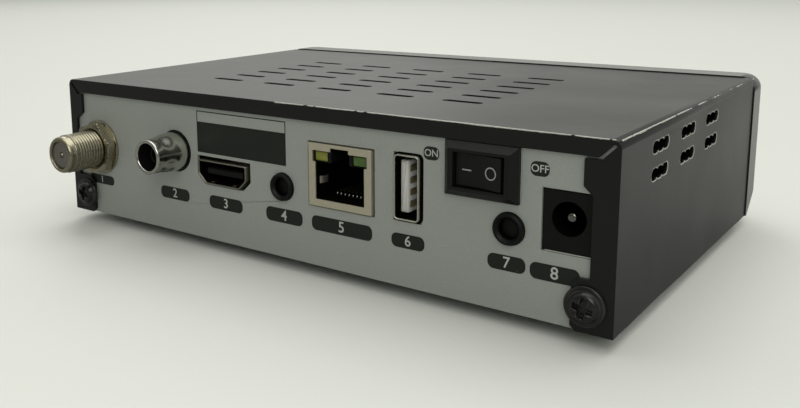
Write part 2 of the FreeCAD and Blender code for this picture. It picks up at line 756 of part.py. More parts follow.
def front_parts():
    """Window, front board with its digits, eye, lamp and switches, and the three keys."""
    play = s.window_play
    finish("display_window", bar("window", as_size(0), front, base + s.window_low + play,
                                 s.window_width - play * 2, s.window_thick, s.window_height - play * 2))
    board = bar("front_board_sheet", as_size(0), front_board, base + s.front_board_low,
                s.front_board_width, s.board_thick, s.front_board_height)
    drills = [rod("front_board_drill", x, front_board - s.board_thick, z, s.small_screw + s.fit_gap,
                  s.board_thick * 3) for x, z in boss_places()]
    finish("front_board", cut("front_board_drilled", board, *drills))
    screws = []
    for x, z in boss_places():
        head_face = front_board + s.board_thick
        shank = rod("small_shank", x, front_board - s.board_thick, z, s.small_screw, s.board_thick * 2)
        head = rod("small_head", x, head_face, z, s.small_head, s.small_head_thick)
        screws.append(fuse("small_screw_solid", shank, head))
    finish("front_board_screws", group("front_screws", *screws))

    window_middle = base + s.window_low + s.window_height / 2
    digits_front = front + s.bezel_wall + s.digits_gap
    finish("digit_display", bar("digits", as_size(0), digits_front, window_middle - s.digits_height / 2,
                                s.digits_width, front_board - digits_front, s.digits_height))
    eye_block = bar("eye_block", s.eye_x, front_board - s.eye_thick + s.eye_width / 4,
                    window_middle - s.eye_height / 2, s.eye_width, s.eye_thick - s.eye_width / 4,
                    s.eye_height)
    eye_lens = rod("eye_lens", s.eye_x, front_board - s.eye_thick, window_middle, s.eye_width / 3,
                   s.eye_thick)
    finish("remote_eye", fuse("eye", eye_block, eye_lens))
    lamp_back = front_board - s.lamp_length
    lamp = rod("lamp_body", s.lamp_x, lamp_back + s.lamp_radius / 2, window_middle, s.lamp_radius,
               s.lamp_length - s.lamp_radius / 2)
    tip = cone("lamp_tip", s.lamp_x, lamp_back, window_middle, s.lamp_radius / 2, s.lamp_radius,
               s.lamp_radius / 2)
    finish("standby_lamp", fuse("lamp", lamp, tip))

    for step, name in enumerate(KEY_NAMES):
        x = s.key_first_x + s.key_pitch * step
        z = base + s.key_height
        finish("tact_switch_%d" % (step + 1), tact_switch(x, z))
        flange_front = front + s.bezel_wall + s.key_seat
        stem_end = front_board - s.tact_height - s.key_travel - s.key_rest_gap
        cap = rod(name + "_cap", x, front - s.key_proud, z, s.key_radius, flange_front - front + s.key_proud)
        flange = rod(name + "_flange", x, flange_front, z, s.key_radius + s.key_flange, s.key_flange_thick)
        stem = rod(name + "_stem", x, flange_front, z, s.key_radius / 2, stem_end - flange_front)
        finish(name, fuse(name + "_solid", cap, flange, stem))


def tact_switch(x, z):
    height = s.tact_height
    side = s.tact_side
    block = box("tact_block", x - side / 2, front_board - height * 0.7, z - side / 2,
                side, height * 0.7, side)
    plunger = rod("tact_plunger", x, front_board - height, z, side / 4, height)
    return fuse("tact", block, plunger)


def hardware():
    """Feet, board posts and the two cover screws."""
    feet = []
    for side in (1, -1):
        for y in (rear - s.foot_inset, seam + s.foot_inset):
            x = side * (s.cover_width / 2 - s.foot_inset)
            feet.append(rod("foot", x, y, as_size(0), s.foot_radius, base, NO_TURN))
    finish("rubber_feet", group("feet", *feet))
    posts = []
    screws = []
    for x, y in post_places():
        length = deck - s.board_thick - floor_top
        posts.append(rod("post", x, y, floor_top, s.post_radius, length, NO_TURN))
        screws.append(rod("board_screw_head", x, y, deck, s.post_radius, s.small_head_thick, NO_TURN))
    finish("board_posts", group("posts", *posts))
    finish("board_screws", group("post_screws", *screws))
    cover_screws = []
    for side in (1, -1):
        x = side * (s.cover_width / 2 - s.screw_inset)
        z = base + s.screw_height
        shank = rod("cover_shank", x, rear - s.screw_length, z, s.screw_shank, s.screw_length)
        washer = rod("cover_washer", x, rear, z, s.screw_head, s.cover_sheet)
        crown = rear + s.cover_sheet
        head = cone("cover_head", x, crown, z, s.screw_head * 0.8, s.screw_head * 0.6, s.screw_crown)
        slots = []
        for width, height in ((s.screw_cross, s.screw_slit), (s.screw_slit, s.screw_cross)):
            low = z - height / 2
            slots.append(box("cross", x - width / 2, crown, low, width, s.screw_crown * 2, height))
        cover_screws.append(cut("cover_screw", fuse("cover_screw_blank", shank, washer, head), *slots))
    finish("cover_screws", group("cover_screw_pair", *cover_screws))


def post_places():
    half = s.board_width / 2 - s.post_inset_x
    near = board_back - board_depth() + s.post_inset_y
    far = board_back - s.tuner_depth - s.post_inset_y
    return [(half, far), (-half, board_back - s.net_depth - s.post_inset_y), (half, near), (-half, near)]


def board_depth():
    return board_back - seam - s.board_front_gap


def main_board():
    depth = board_depth()
    finish("main_board", bar("board", as_size(0), board_back - depth, deck - s.board_thick,
                             s.board_width, depth, s.board_thick))
    link_back = board_back - depth + s.board_front_gap / 2
    link_front = front_board + s.board_thick
    link = bar("link", as_size(0), link_front, deck, s.link_width, link_back - link_front, s.link_height)
    finish("link_header", link)


def coax_socket():
    """The threaded aerial socket with its nut and washer, and the tin tuner box behind it."""
    x = s.coax_x
    z = base + s.coax_z
    tip = rear + s.coax_reach
    shoulder = bar("coax_shoulder", x, wall_back - s.coax_shoulder_thick, deck, s.coax_shoulder * 2,
                   s.coax_shoulder_thick, s.coax_z - s.board_top + s.coax_shoulder)
    thread_start = wall_face + s.washer_thick + s.nut_thick + s.coax_relief
    neck = rod("coax_root", x, wall_back, z, s.coax_neck, thread_start + s.coax_relief - wall_back)
    barrel = rod("coax_tube", x, thread_start, z, s.coax_radius, tip - s.coax_nose - thread_start)
    nose = cone("coax_nose", x, tip - s.coax_nose, z, s.coax_radius, s.coax_tip, s.coax_nose)
    bore = rod("coax_bore", x, rear, z, s.coax_core + s.fit_gap, s.coax_reach * 2)
    finish("coax_barrel", cut("coax", fuse("coax_blank", shoulder, neck, barrel, nose), bore))
    core = rod("coax_filling", x, rear, z, s.coax_core, s.coax_reach - s.coax_core_back)
    hole = rod("coax_pin_hole", x, rear + s.coax_reach / 2, z, s.coax_pin_hole + s.fit_gap, s.coax_reach)
    finish("coax_core", cut("coax_core_bored", core, hole))
    finish("coax_contact", rod("coax_pin", x, rear + s.coax_reach / 2, z, s.coax_pin_hole,
                               s.coax_reach / 2 - s.coax_core_back * 2))
    washer = rod("washer_disc", x, wall_face, z, s.washer_radius, s.washer_thick)
    washer_bore = s.coax_neck + s.nut_play
    washer_hole = rod("washer_hole", x, wall_face - s.washer_thick, z, washer_bore, s.washer_thick * 3)
    finish("coax_washer", cut("coax_washer_cut", washer, washer_hole))
    nut = doc.addObject("Part::Prism", "nut_hexagon")
    nut.Polygon = 6
    bind(nut, "Circumradius", s.nut_flats / 2 / as_size(math.cos(math.pi / 6)))
    bind(nut, "Height", s.nut_thick)
    place(nut, x, wall_face + s.washer_thick, z, Y_AXIS)
    nut_hole = rod("nut_hole", x, wall_face, z, washer_bore, s.nut_thick * 3)
    finish("coax_nut", cut("coax_nut_cut", nut, nut_hole))

    can_back = wall_back - s.coax_shoulder_thick - s.tuner_depth
    tin = s.tin_sheet
    outer = bar("tuner_outer", x, can_back, deck, s.tuner_width, s.tuner_depth, s.tuner_height)
    inner = bar("tuner_inner", x, can_back + tin, deck + tin, s.tuner_width - tin * 2,
                s.tuner_depth - tin * 2, s.tuner_height)
    finish("tuner_can", cut("tuner_tray", outer, inner))
    lid = bar("tuner_lid_sheet", x, can_back, deck + s.tuner_height, s.tuner_width, s.tuner_depth, tin)
    finish("tuner_lid", lid)


def rca_socket():
    """The digital audio socket: black moulding, bright shell and centre contact."""
    x = s.rca_x
    z = base + s.rca_z
    ring_end = wall_face + s.rca_ring_proud
    block = bar("rca_block", x, wall_back - s.rca_block_depth, deck, s.rca_block_width, s.rca_block_depth,
                s.rca_z - s.board_top + s.rca_block_width / 2)
    neck = rod("rca_neck", x, wall_back, z, s.rca_ring, ring_end - wall_back)
    floor = rod("rca_floor", x, wall_back, z, s.rca_bore - s.fit_gap, rear + s.rca_floor - wall_back)
    bore = rod("rca_contact_way", x, wall_back - s.rca_block_depth / 2, z, s.rca_pin_out + s.fit_gap,
               s.rca_block_depth * 2)
    finish("rca_moulding", cut("rca_moulding_cut", fuse("rca_blank", block, neck, floor), bore))
    collar = rod("rca_collar", x, ring_end, z, s.rca_collar, rear + s.rca_collar_reach - ring_end)
    sleeve = rod("rca_sleeve", x, ring_end, z, s.rca_radius, rear + s.rca_reach - ring_end)
    shell_bore = rod("rca_shell_bore", x, wall_back, z, s.rca_bore, s.rca_reach * 2)
    finish("rca_shell", cut("rca_shell_cut", fuse("rca_shell_blank", collar, sleeve), shell_bore))
    contact_back = wall_back - s.rca_block_depth / 2
    contact_length = rear + s.rca_pin_reach - contact_back
    contact = rod("rca_contact_rod", x, contact_back, z, s.rca_pin_out, contact_length)
    contact_bore = rod("rca_contact_bore", x, wall_face, z, s.rca_pin_bore, s.rca_reach)
    finish("rca_contact", cut("rca_contact_cut", contact, contact_bore))


def hdmi_socket():
    body = make_body("hdmi_shell")
    face = rear - s.hdmi_back
    profile = sketch(body, "hdmi_profile", "XZ_Plane", -face)
    outline(profile, *hdmi_points(*[as_size(0)] * 4))
    pad(body, profile, s.hdmi_depth)
    mouth = sketch(body, "hdmi_mouth", "XZ_Plane", s.hdmi_depth - s.hdmi_shell - face)
    outline(mouth, *hdmi_points(*[-s.hdmi_shell] * 4))
    pocket(body, mouth, s.hdmi_depth)
    finish("hdmi_shell", body)
    low = deck + s.hdmi_height / 2
    back = face - s.hdmi_depth + s.hdmi_shell
    tongue_length = s.hdmi_depth - s.hdmi_shell - s.hdmi_tongue_back
    tongue = bar("hdmi_tongue_bar", s.hdmi_x, back, low - s.hdmi_tongue_thick / 2, s.hdmi_tongue_width,
                 tongue_length, s.hdmi_tongue_thick)
    root = bar("hdmi_root", s.hdmi_x, back, deck + s.hdmi_shell, s.hdmi_tongue_width - s.hdmi_slant,
               s.hdmi_tongue_thick * 1.5, s.hdmi_height - s.hdmi_shell * 2)
    finish("hdmi_tongue", fuse("hdmi_insert", tongue, root))


def round_jack(label, x):
    z = base + s.jack_z
    block = bar(label + "_block", x, wall_back - s.jack_depth, deck, s.jack_width, s.jack_depth,
                (s.jack_z - s.board_top) * 2)
    nose = rod(label + "_nose", x, wall_back, z, s.jack_radius, wall_face + s.jack_proud - wall_back)
    bore = rod(label + "_bore", x, wall_face + s.jack_proud - s.jack_bore_depth, z, s.jack_bore,
               s.jack_bore_depth * 2)
    finish(label, cut(label + "_cut", fuse(label + "_blank", block, nose), bore))


def net_socket():
    """The network socket: shield, moulding, two lamps and eight spring wires."""
    face = wall_face + s.net_proud
    wall = s.net_shell
    x = s.net_x
    back = face - s.net_depth
    shield = make_body("net_shield")
    profile = sketch(shield, "net_profile", "XZ_Plane", -face)
    centred(profile, x, deck, s.net_width, s.net_height)
    pad(shield, profile, s.net_depth)
    hollow = sketch(shield, "net_hollow", "XZ_Plane", -(back - wall))
    centred(hollow, x, deck + wall, s.net_width - wall * 2, s.net_height - wall * 2)
    pocket(shield, hollow, s.net_depth)
    mouth = sketch(shield, "net_mouth", "XZ_Plane", wall * 2 - face)
    half = s.net_mouth / 2
    lamp_out = s.net_latch / 2 + s.net_lamp_width
    low, middle = deck + s.net_mouth_low, deck + s.net_mouth_high
    lamp_top, latch_top = deck + s.net_lamp_high, deck + s.net_latch_high
    latch = s.net_latch / 2
    outline(mouth, (x - half, low), (x + half, low), (x + half, middle), (x + lamp_out, middle),
            (x + lamp_out, lamp_top), (x + latch, lamp_top), (x + latch, latch_top), (x - latch, latch_top),
            (x - latch, lamp_top), (x - lamp_out, lamp_top), (x - lamp_out, middle), (x - half, middle))
    pocket(shield, mouth, s.net_depth)
    finish("net_shield", shield)

    inner_face = face - wall
    inset = wall + s.fit_gap
    core = bar("net_core", x, back, deck + inset, s.net_width - inset * 2, inner_face - back,
               s.net_height - inset * 2)
    throat_back = inner_face - s.net_mouth_depth
    throat_height = s.net_mouth_high - s.net_mouth_low
    throat = bar("net_throat", x, throat_back, low, s.net_mouth, s.net_depth, throat_height)
    notch = bar("net_notch", x, throat_back, middle - wall, s.net_latch, s.net_depth,
                s.net_latch_high - s.net_mouth_high + wall)
    lamp_gap = s.fit_gap
    pockets = []
    for side, label in ((1, "net_lamp_yellow"), (-1, "net_lamp_green")):
        lamp_middle = x + side * (s.net_latch / 2 + s.net_lamp_width / 2)
        lamp_back = inner_face - s.net_lamp_length
        height = s.net_lamp_high - s.net_mouth_high
        room = bar("net_lamp_room", lamp_middle, lamp_back, middle, s.net_lamp_width, s.net_depth, height)
        pockets.append(room)
        lamp = bar("net_lamp", lamp_middle, lamp_back + lamp_gap, middle + lamp_gap,
                   s.net_lamp_width - lamp_gap * 2, s.net_lamp_length - lamp_gap, height - lamp_gap * 2)
        finish(label, lamp)
    finish("net_moulding", cut("net_moulding_cut", core, throat, notch, *pockets))
    wires = []
    for step in range(NET_WIRES):
        offset = s.net_pitch * (step - (NET_WIRES - 1) / 2)
        wires.append(bar("net_wire", x + offset, throat_back, low + s.net_wire_low, s.net_wire * 2,
                         s.net_mouth_depth * 0.6, s.net_wire * 2))
    finish("net_wires", group("net_wire_row", *wires))


def usb_socket():
    """The upright memory socket: shell, white tongue and its four strips."""
    face = wall_face + s.usb_proud
    wall = s.usb_shell
    low = base + s.usb_low
    back = face - s.usb_depth
    outer = bar("usb_outer", s.usb_x, back, low, s.usb_width, s.usb_depth, s.usb_height)
    inner = bar("usb_inner", s.usb_x, back + wall, low + wall, s.usb_width - wall * 2, s.usb_depth,
                s.usb_height - wall * 2)
    finish("usb_shell", cut("usb_shell_cut", outer, inner))
    middle = low + s.usb_height / 2
    tongue_side = s.usb_x + s.usb_width / 2 - wall - s.usb_tongue_side
    tongue_low = middle - s.usb_tongue_height / 2
    tongue_face = tongue_side - s.usb_tongue_thick
    tongue = box("usb_tongue_bar", tongue_face, back + wall, tongue_low, s.usb_tongue_thick,
                 s.usb_depth - wall - s.usb_tongue_back, s.usb_tongue_height)
    root = bar("usb_root", s.usb_x, back + wall, low + wall, s.usb_width - wall * 2, s.usb_tongue_thick,
               s.usb_height - wall * 2)
    finish("usb_tongue", fuse("usb_insert", tongue, root))
    strips = []
    for step in range(USB_STRIPS):
        z = middle + s.usb_pitch * (step - (USB_STRIPS - 1) / 2) - s.usb_strip / 2
        strips.append(box("usb_strip", tongue_face - s.usb_strip_thick,
                          back + wall + s.usb_tongue_thick, z, s.usb_strip_thick,
                          s.usb_depth - s.usb_tongue_thick - s.usb_tongue_back * 2, s.usb_strip))
    finish("usb_strips", group("usb_strip_row", *strips))


def power_switch():
    """Snap-in rocker switch: frame, rocker on its own axle pins, and two terminals."""
    x = s.switch_x
    z = base + s.switch_z
    rim = wall_face + s.switch_rim
    chord = rim - s.rocker_drop
    axle_y = chord - s.rocker_axle_back
    frame = make_body("switch_frame")
    plate = sketch(frame, "switch_plate", "XZ_Plane", -rim)
    centred(plate, x, z - s.switch_height / 2, s.switch_width, s.switch_height)
    pad(frame, plate, s.switch_rim)
    rim_edges = edges_where(frame.Shape, lambda e: lies_on(e, y=rim))
    dress(frame, "Chamfer", "switch_bevel", rim_edges, "Size", s.switch_bevel)
    housing = sketch(frame, "switch_housing", "XZ_Plane", -wall_face)
    centred(housing, x, z - s.switch_body_height / 2, s.switch_body_width, s.switch_body_height)
    pad(frame, housing, s.switch_body_depth)
    well = sketch(frame, "switch_well", "XZ_Plane", s.rocker_well - rim)
    length = s.rocker_length + s.rocker_room * 2
    height = s.rocker_height + s.rocker_side_room * 2
    centred(well, x, z - height / 2, length, height)
    pocket(frame, well, s.rocker_well + s.switch_rim)
    sockets = sketch(frame, "axle_sockets", "XY_Plane", z + height / 2 + s.rocker_axle_reach)
    ring(sockets, x, axle_y, s.rocker_axle + s.rocker_axle_play)
    pocket(frame, sockets, height + s.rocker_axle_reach * 2)
    finish("switch_frame", frame)

    rocker = make_body("switch_rocker")
    half = s.rocker_length / 2
    profile = sketch(rocker, "rocker_profile", "XY_Plane", -(s.rocker_height / 2))
    lower = -s.rocker_depth
    outline(profile, (-half, s.rocker_dish), (as_size(0), as_size(0)), (half, s.rocker_dish),
            (half, lower / 2), (half / 2, lower), (-half / 2, lower), (-half, lower / 2))
    pad(rocker, profile, s.rocker_height)
    pin_end = s.rocker_height / 2 + s.rocker_side_room + s.rocker_axle_reach / 2
    pins = sketch(rocker, "rocker_pins", "XY_Plane", -pin_end)
    ring(pins, as_size(0), -s.rocker_axle_back, s.rocker_axle)
    pad(rocker, pins, pin_end * 2)
    lean = -s.rocker_throw / 2
    bind(rocker, "Placement.Rotation.Angle", lean)
    rocker.Placement.Rotation.Axis = FreeCAD.Vector(0, 0, 1)
    shift_x = Size("(%s * sin(%s * 1 deg))" % (s.rocker_axle_back.text, lean.text),
                   s.rocker_axle_back.value * math.sin(math.radians(lean.value)))
    shift_y = Size("(%s * cos(%s * 1 deg))" % (s.rocker_axle_back.text, lean.text),
                   s.rocker_axle_back.value * math.cos(math.radians(lean.value)))
    bind(rocker, "Placement.Base.x", x - shift_x)
    bind(rocker, "Placement.Base.y", axle_y + shift_y)
    bind(rocker, "Placement.Base.z", z)
    finish("switch_rocker", rocker)

    back = wall_face - s.switch_body_depth
    terminals = []
    for side in (1, -1):
        middle = x + side * s.terminal_pitch / 2
        terminals.append(bar("terminal", middle, back - s.terminal_length, z - s.terminal_thick / 2,
                             s.terminal_width, s.terminal_length, s.terminal_thick))
    finish("switch_terminals", group("terminal_pair", *terminals))


def dc_socket():
    face = rear - s.dc_back
    block = bar("dc_block", s.dc_x, face - s.dc_depth, deck, s.dc_width, s.dc_depth, s.dc_height)
    bore = rod("dc_bore", s.dc_bore_x, face - s.dc_bore_depth, base + s.dc_bore_z, s.dc_bore,
               s.dc_bore_depth * 2)
    finish("dc_socket", cut("dc_socket_cut", block, bore))
    finish("dc_pin", rod("dc_pin_rod", s.dc_bore_x, face - s.dc_bore_depth, base + s.dc_bore_z, s.dc_pin,
                         s.dc_bore_depth - s.dc_pin_back))


def on_board(name, x, back, dx, dy, dz):
    """A part standing on the main board, its place given from the rear flange."""
    return bar(name, x, rear - back - dy / 2, deck, dx, dy, dz)


def board_parts():
    finish("main_chip", on_board("chip", s.chip_x, s.chip_y, s.chip_side, s.chip_side, s.chip_thick))
    side = s.sink_side
    sink_low = deck + s.chip_thick
    sink_y = rear - s.chip_y - side / 2
    pieces = [bar("sink_base", s.chip_x, sink_y, sink_low, side, side, s.sink_base)]
    pitch = (side - s.fin_thick) / (FIN_COUNT - 1)
    for step in range(FIN_COUNT):
        x = s.chip_x - side / 2 + pitch * step
        pieces.append(box("fin", x, sink_y, sink_low, s.fin_thick, side, s.sink_height))
    finish("heat_sink", fuse("sink", *pieces))
    near_chip = s.chip_side / 2 + s.sink_side / 2
    memory_x = s.chip_x - near_chip - s.memory_width / 4
    finish("memory_chip", on_board("memory", memory_x, s.chip_y, s.memory_width, s.memory_depth,
                                   s.memory_thick))
    store_back = s.chip_y + s.store_side
    finish("store_chip", on_board("store", s.chip_x + near_chip, store_back, s.store_side, s.store_side,
                                  s.store_thick))
    isolator_back = s.net_depth + s.isolator_depth
    finish("network_isolator", on_board("isolator", s.net_x, isolator_back, s.isolator_width,
                                        s.isolator_depth, s.isolator_thick))
    crystal_back = s.chip_y - s.sink_side / 2 - s.crystal_width
    finish("crystal_can", on_board("crystal", s.chip_x, crystal_back, s.crystal_length, s.crystal_width,
                                   s.crystal_thick))
    coils = []
    cans = []
    for step in range(2):
        reach = s.dc_depth + s.coil_side * (1.5 + 2 * step)
        coils.append(on_board("coil", s.dc_x + s.coil_side, reach, s.coil_side, s.coil_side, s.coil_thick))
        y = rear - s.net_depth - s.can_radius * (3 + 4 * step)
        cans.append(rod("can", s.switch_x + s.coil_side, y, deck, s.can_radius, s.can_height, NO_TURN))
        cans.append(rod("small_can", s.usb_x, y, deck, s.can_small_radius, s.can_height / 2, NO_TURN))
    finish("power_coils", group("coil_pair", *coils))
    finish("capacitors", group("can_group", *cans))


def build():
    top_cover()
    base_chassis()
    front_bezel()
    front_parts()
    hardware()
    main_board()
    coax_socket()
    rca_socket()
    hdmi_socket()
    round_jack("av_jack", s.jack_av_x)
    round_jack("data_jack", s.jack_data_x)
    net_socket()
    usb_socket()
    power_switch()
    dc_socket()
    board_parts()
    doc.recompute()


def check():
    """Stop at any object that failed or any sub-part that isn't a sound solid."""
    for thing in doc.Objects:
        if "Invalid" in thing.State or "Error" in thing.State:
            raise ValueError("%s is %s" % (thing.Label, thing.State))
    for thing in finished:
        shape = thing.Shape
        if shape.isNull() or not shape.isValid() or not shape.Solids:
            raise ValueError("%s has no sound solid" % thing.Label)


def write():
    os.makedirs("parts", exist_ok=True)
    for thing in finished:
        thing.Shape.exportStep(os.path.join("parts", thing.Label + ".step"))


build()
check()
write()
print(len(finished), "sub-parts")
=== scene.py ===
"""The looks of a small satellite television receiver, seen from its sockets."""

import json
import math

import bmesh
import bpy
from bpy.props import FloatProperty, FloatVectorProperty, PointerProperty
from mathutils import Matrix, Vector, noise


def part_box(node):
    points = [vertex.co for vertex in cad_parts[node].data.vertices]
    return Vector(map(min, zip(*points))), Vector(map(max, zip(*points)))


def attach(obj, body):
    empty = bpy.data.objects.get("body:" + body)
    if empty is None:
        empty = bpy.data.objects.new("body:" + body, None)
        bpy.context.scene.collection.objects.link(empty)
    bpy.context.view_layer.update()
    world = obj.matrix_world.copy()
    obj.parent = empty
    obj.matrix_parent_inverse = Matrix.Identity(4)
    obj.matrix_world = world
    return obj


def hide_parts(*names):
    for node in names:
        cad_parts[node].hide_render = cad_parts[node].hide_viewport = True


bl_info = {
    "name": "Satellite Receiver",
    "version": (1, 0, 0),
    "blender": (4, 5, 0),
    "location": "View3D > Sidebar > Receiver",
    "description": "Builds the sockets, switch, labels and finishes of a small television receiver",
    "category": "Object",
}

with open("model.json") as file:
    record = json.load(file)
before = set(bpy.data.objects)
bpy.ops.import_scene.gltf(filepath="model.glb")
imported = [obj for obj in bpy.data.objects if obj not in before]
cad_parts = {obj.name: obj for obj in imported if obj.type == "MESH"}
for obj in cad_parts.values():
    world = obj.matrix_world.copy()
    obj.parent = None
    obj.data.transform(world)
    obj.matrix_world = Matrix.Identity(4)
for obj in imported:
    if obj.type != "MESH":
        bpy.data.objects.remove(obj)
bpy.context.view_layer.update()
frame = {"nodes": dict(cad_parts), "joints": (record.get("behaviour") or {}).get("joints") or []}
MM = 0.001
COVER_LOW, COVER_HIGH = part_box("top_cover")
REAR = COVER_HIGH.y
BASE = COVER_LOW.z
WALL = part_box("base_chassis")[1].y
OUTWARD = Matrix(((-1, 0, 0), (0, 0, 1), (0, 1, 0))).transposed().to_4x4()


# Settings

class ReceiverSizes(bpy.types.PropertyGroup):
    """Small visible sizes that the solids leave plain."""

    edge_round: FloatProperty(
        name="Edge rounding", description="Rounding of edges that have no width of their own",
        default=0.12 * MM, unit="LENGTH")
    thread_pitch: FloatProperty(
        name="Thread pitch", description="Pitch of the aerial socket's thread",
        default=0.79 * MM, unit="LENGTH")
    thread_depth: FloatProperty(
        name="Thread depth", description="Depth of the aerial socket's thread",
        default=0.15 * MM, unit="LENGTH")
    print_thickness: FloatProperty(
        name="Print thickness", description="How far printed labels stand off the rear wall",
        default=0.03 * MM, unit="LENGTH")
    label_letter: FloatProperty(
        name="Label letter height", description="Tallest number in the printed labels",
        default=2.5 * MM, unit="LENGTH")
    nut_flats: FloatProperty(
        name="Nut across flats", description="Width of the aerial socket's nut",
        default=12.0 * MM, unit="LENGTH")


class ReceiverColours(bpy.types.PropertyGroup):
    """Base colours of the finishes."""

    cover: FloatVectorProperty(
        name="Cover paint", description="Black semi-gloss paint", subtype="COLOR",
        default=(0.0075, 0.0078, 0.0075), min=0, max=1)
    rear_wall: FloatVectorProperty(
        name="Rear wall", description="Silver-grey satin paint of the rear wall", subtype="COLOR",
        default=(0.33, 0.347, 0.323), min=0, max=1)
    front: FloatVectorProperty(
        name="Front moulding", description="Dark glossy plastic", subtype="COLOR",
        default=(0.016, 0.016, 0.016), min=0, max=1)
    print_dark: FloatVectorProperty(
        name="Label print", description="Dark ink of the labels", subtype="COLOR",
        default=(0.015, 0.017, 0.014), min=0, max=1)
    print_light: FloatVectorProperty(
        name="Label numbers", description="Pale ink of the numbers", subtype="COLOR",
        default=(0.42, 0.44, 0.41), min=0, max=1)
    moulding: FloatVectorProperty(
        name="Black moulding", description="Matt black socket plastic", subtype="COLOR",
        default=(0.0045, 0.0045, 0.0048), min=0, max=1)
    floor: FloatVectorProperty(
        name="Floor", description="Pale floor under the receiver", subtype="COLOR",
        default=(0.70, 0.712, 0.68), min=0, max=1)


def sizes():
    return bpy.context.scene.receiver_sizes


def colours():
    return bpy.context.scene.receiver_colours


# Shared shader groups

def new_group(name, inputs, outputs):
    """An empty shader group with number inputs (label, default) and number outputs."""
    group = bpy.data.node_groups.new(name, "ShaderNodeTree")
    for label, value in inputs:
        socket = group.interface.new_socket(label, in_out="INPUT", socket_type="NodeSocketFloat")
        socket.default_value = value
    for label in outputs:
        group.interface.new_socket(label, in_out="OUTPUT", socket_type="NodeSocketFloat")
    return group, group.nodes.new("NodeGroupInput"), group.nodes.new("NodeGroupOutput")


def object_place(group, scale_socket):
    """The object's own coordinates times a scale."""
    place = group.nodes.new("ShaderNodeTexCoord").outputs["Object"]
    stretch = group.nodes.new("ShaderNodeVectorMath")
    stretch.operation = "SCALE"
    group.links.new(place, stretch.inputs[0])
    group.links.new(scale_socket, stretch.inputs["Scale"])
    return stretch.outputs[0]


def cloud(group, place, detail):
    """Plain noise over a place that is scaled already."""
    clouds = group.nodes.new("ShaderNodeTexNoise")
    clouds.inputs["Scale"].default_value = 1.0
    clouds.inputs["Detail"].default_value = detail
    group.links.new(place, clouds.inputs["Vector"])
    return clouds.outputs["Fac"]


def ramp(nodes, links, source, low, high):
    """A soft step from 0 at low to 1 at high."""
    step = nodes.new("ShaderNodeMapRange")
    step.interpolation_type = "SMOOTHSTEP"
    step.inputs["From Min"].default_value = low
    step.inputs["From Max"].default_value = high
    links.new(source, step.inputs["Value"])
    return step.outputs["Result"]


def times(nodes, links, first, second):
    product = nodes.new("ShaderNodeMath")
    product.operation = "MULTIPLY"
    links.new(first, product.inputs[0])
    links.new(second, product.inputs[1])
    return product.outputs[0]


def worn_edges_group():
    """Rubbed edges: a rounded normal differs from the face's own near an edge, and noise breaks the line up."""
    inputs = [("Width", 0.0004), ("Amount", 1.0), ("Patches", 300.0)]
    group, entry, leave = new_group("Worn Edges", inputs, ["Mask"])
    nodes, links = group.nodes, group.links
    rounded = nodes.new("ShaderNodeBevel")
    rounded.samples = 6
    links.new(entry.outputs["Width"], rounded.inputs["Radius"])
    agree = nodes.new("ShaderNodeVectorMath")
    agree.operation = "DOT_PRODUCT"
    links.new(rounded.outputs[0], agree.inputs[0])
    links.new(nodes.new("ShaderNodeNewGeometry").outputs["True Normal"], agree.inputs[1])
    edge = ramp(nodes, links, agree.outputs["Value"], 0.985, 0.86)
    blotches = cloud(group, object_place(group, entry.outputs["Patches"]), 5.0)
    broken = times(nodes, links, edge, ramp(nodes, links, blotches, 0.36, 0.62))
    links.new(times(nodes, links, broken, entry.outputs["Amount"]), leave.inputs["Mask"])
    return group


def specks_group():
    """Scattered dust: small cells of which only a few are kept."""
    group, entry, leave = new_group("Dust Specks", [("Scale", 500.0), ("Share", 0.05)], ["Mask"])
    nodes, links = group.nodes, group.links
    cells = nodes.new("ShaderNodeTexVoronoi")
    cells.inputs["Scale"].default_value = 1.0
    links.new(object_place(group, entry.outputs["Scale"]), cells.inputs["Vector"])
    dot = ramp(nodes, links, cells.outputs["Distance"], 0.17, 0.09)
    pick = nodes.new("ShaderNodeSeparateColor")
    links.new(cells.outputs["Color"], pick.inputs[0])
    keep = nodes.new("ShaderNodeMath")
    keep.operation = "LESS_THAN"
    links.new(pick.outputs[0], keep.inputs[0])
    links.new(entry.outputs["Share"], keep.inputs[1])
    links.new(times(nodes, links, dot, keep.outputs[0]), leave.inputs["Mask"])
    return group


def grain_group():
    """Fine height noise for paint and moulded plastic, and a slow drift for gloss."""
    inputs = [("Scale", 2500.0), ("Drift Scale", 45.0), ("Drift Low", 0.3), ("Drift High", 0.4)]
    group, entry, leave = new_group("Surface Grain", inputs, ["Height", "Drift"])
    nodes, links = group.nodes, group.links
    links.new(cloud(group, object_place(group, entry.outputs["Scale"]), 3.0), leave.inputs["Height"])
    span = nodes.new("ShaderNodeMapRange")
    span.inputs["From Min"].default_value = 0.3
    span.inputs["From Max"].default_value = 0.7
    links.new(cloud(group, object_place(group, entry.outputs["Drift Scale"]), 4.0), span.inputs["Value"])
    links.new(entry.outputs["Drift Low"], span.inputs["To Min"])
    links.new(entry.outputs["Drift High"], span.inputs["To Max"])
    links.new(span.outputs["Result"], leave.inputs["Drift"])
    return group


def scratches_group():
    """Hairline scratches: stretched noise cut to thin lines."""
    group, entry, leave = new_group("Hairline Scratches", [("Scale", 160.0), ("Amount", 0.5)], ["Mask"])
    nodes, links = group.nodes, group.links
    turn = nodes.new("ShaderNodeMapping")
    turn.inputs["Rotation"].default_value = (0.3, 0.5, 0.4)
    turn.inputs["Scale"].default_value = (1.0, 1.0, 9.0)
    links.new(object_place(group, entry.outputs["Scale"]), turn.inputs["Vector"])
    thin = ramp(nodes, links, cloud(group, turn.outputs[0], 2.0), 0.70, 0.74)
    links.new(times(nodes, links, thin, entry.outputs["Amount"]), leave.inputs["Mask"])
    return group


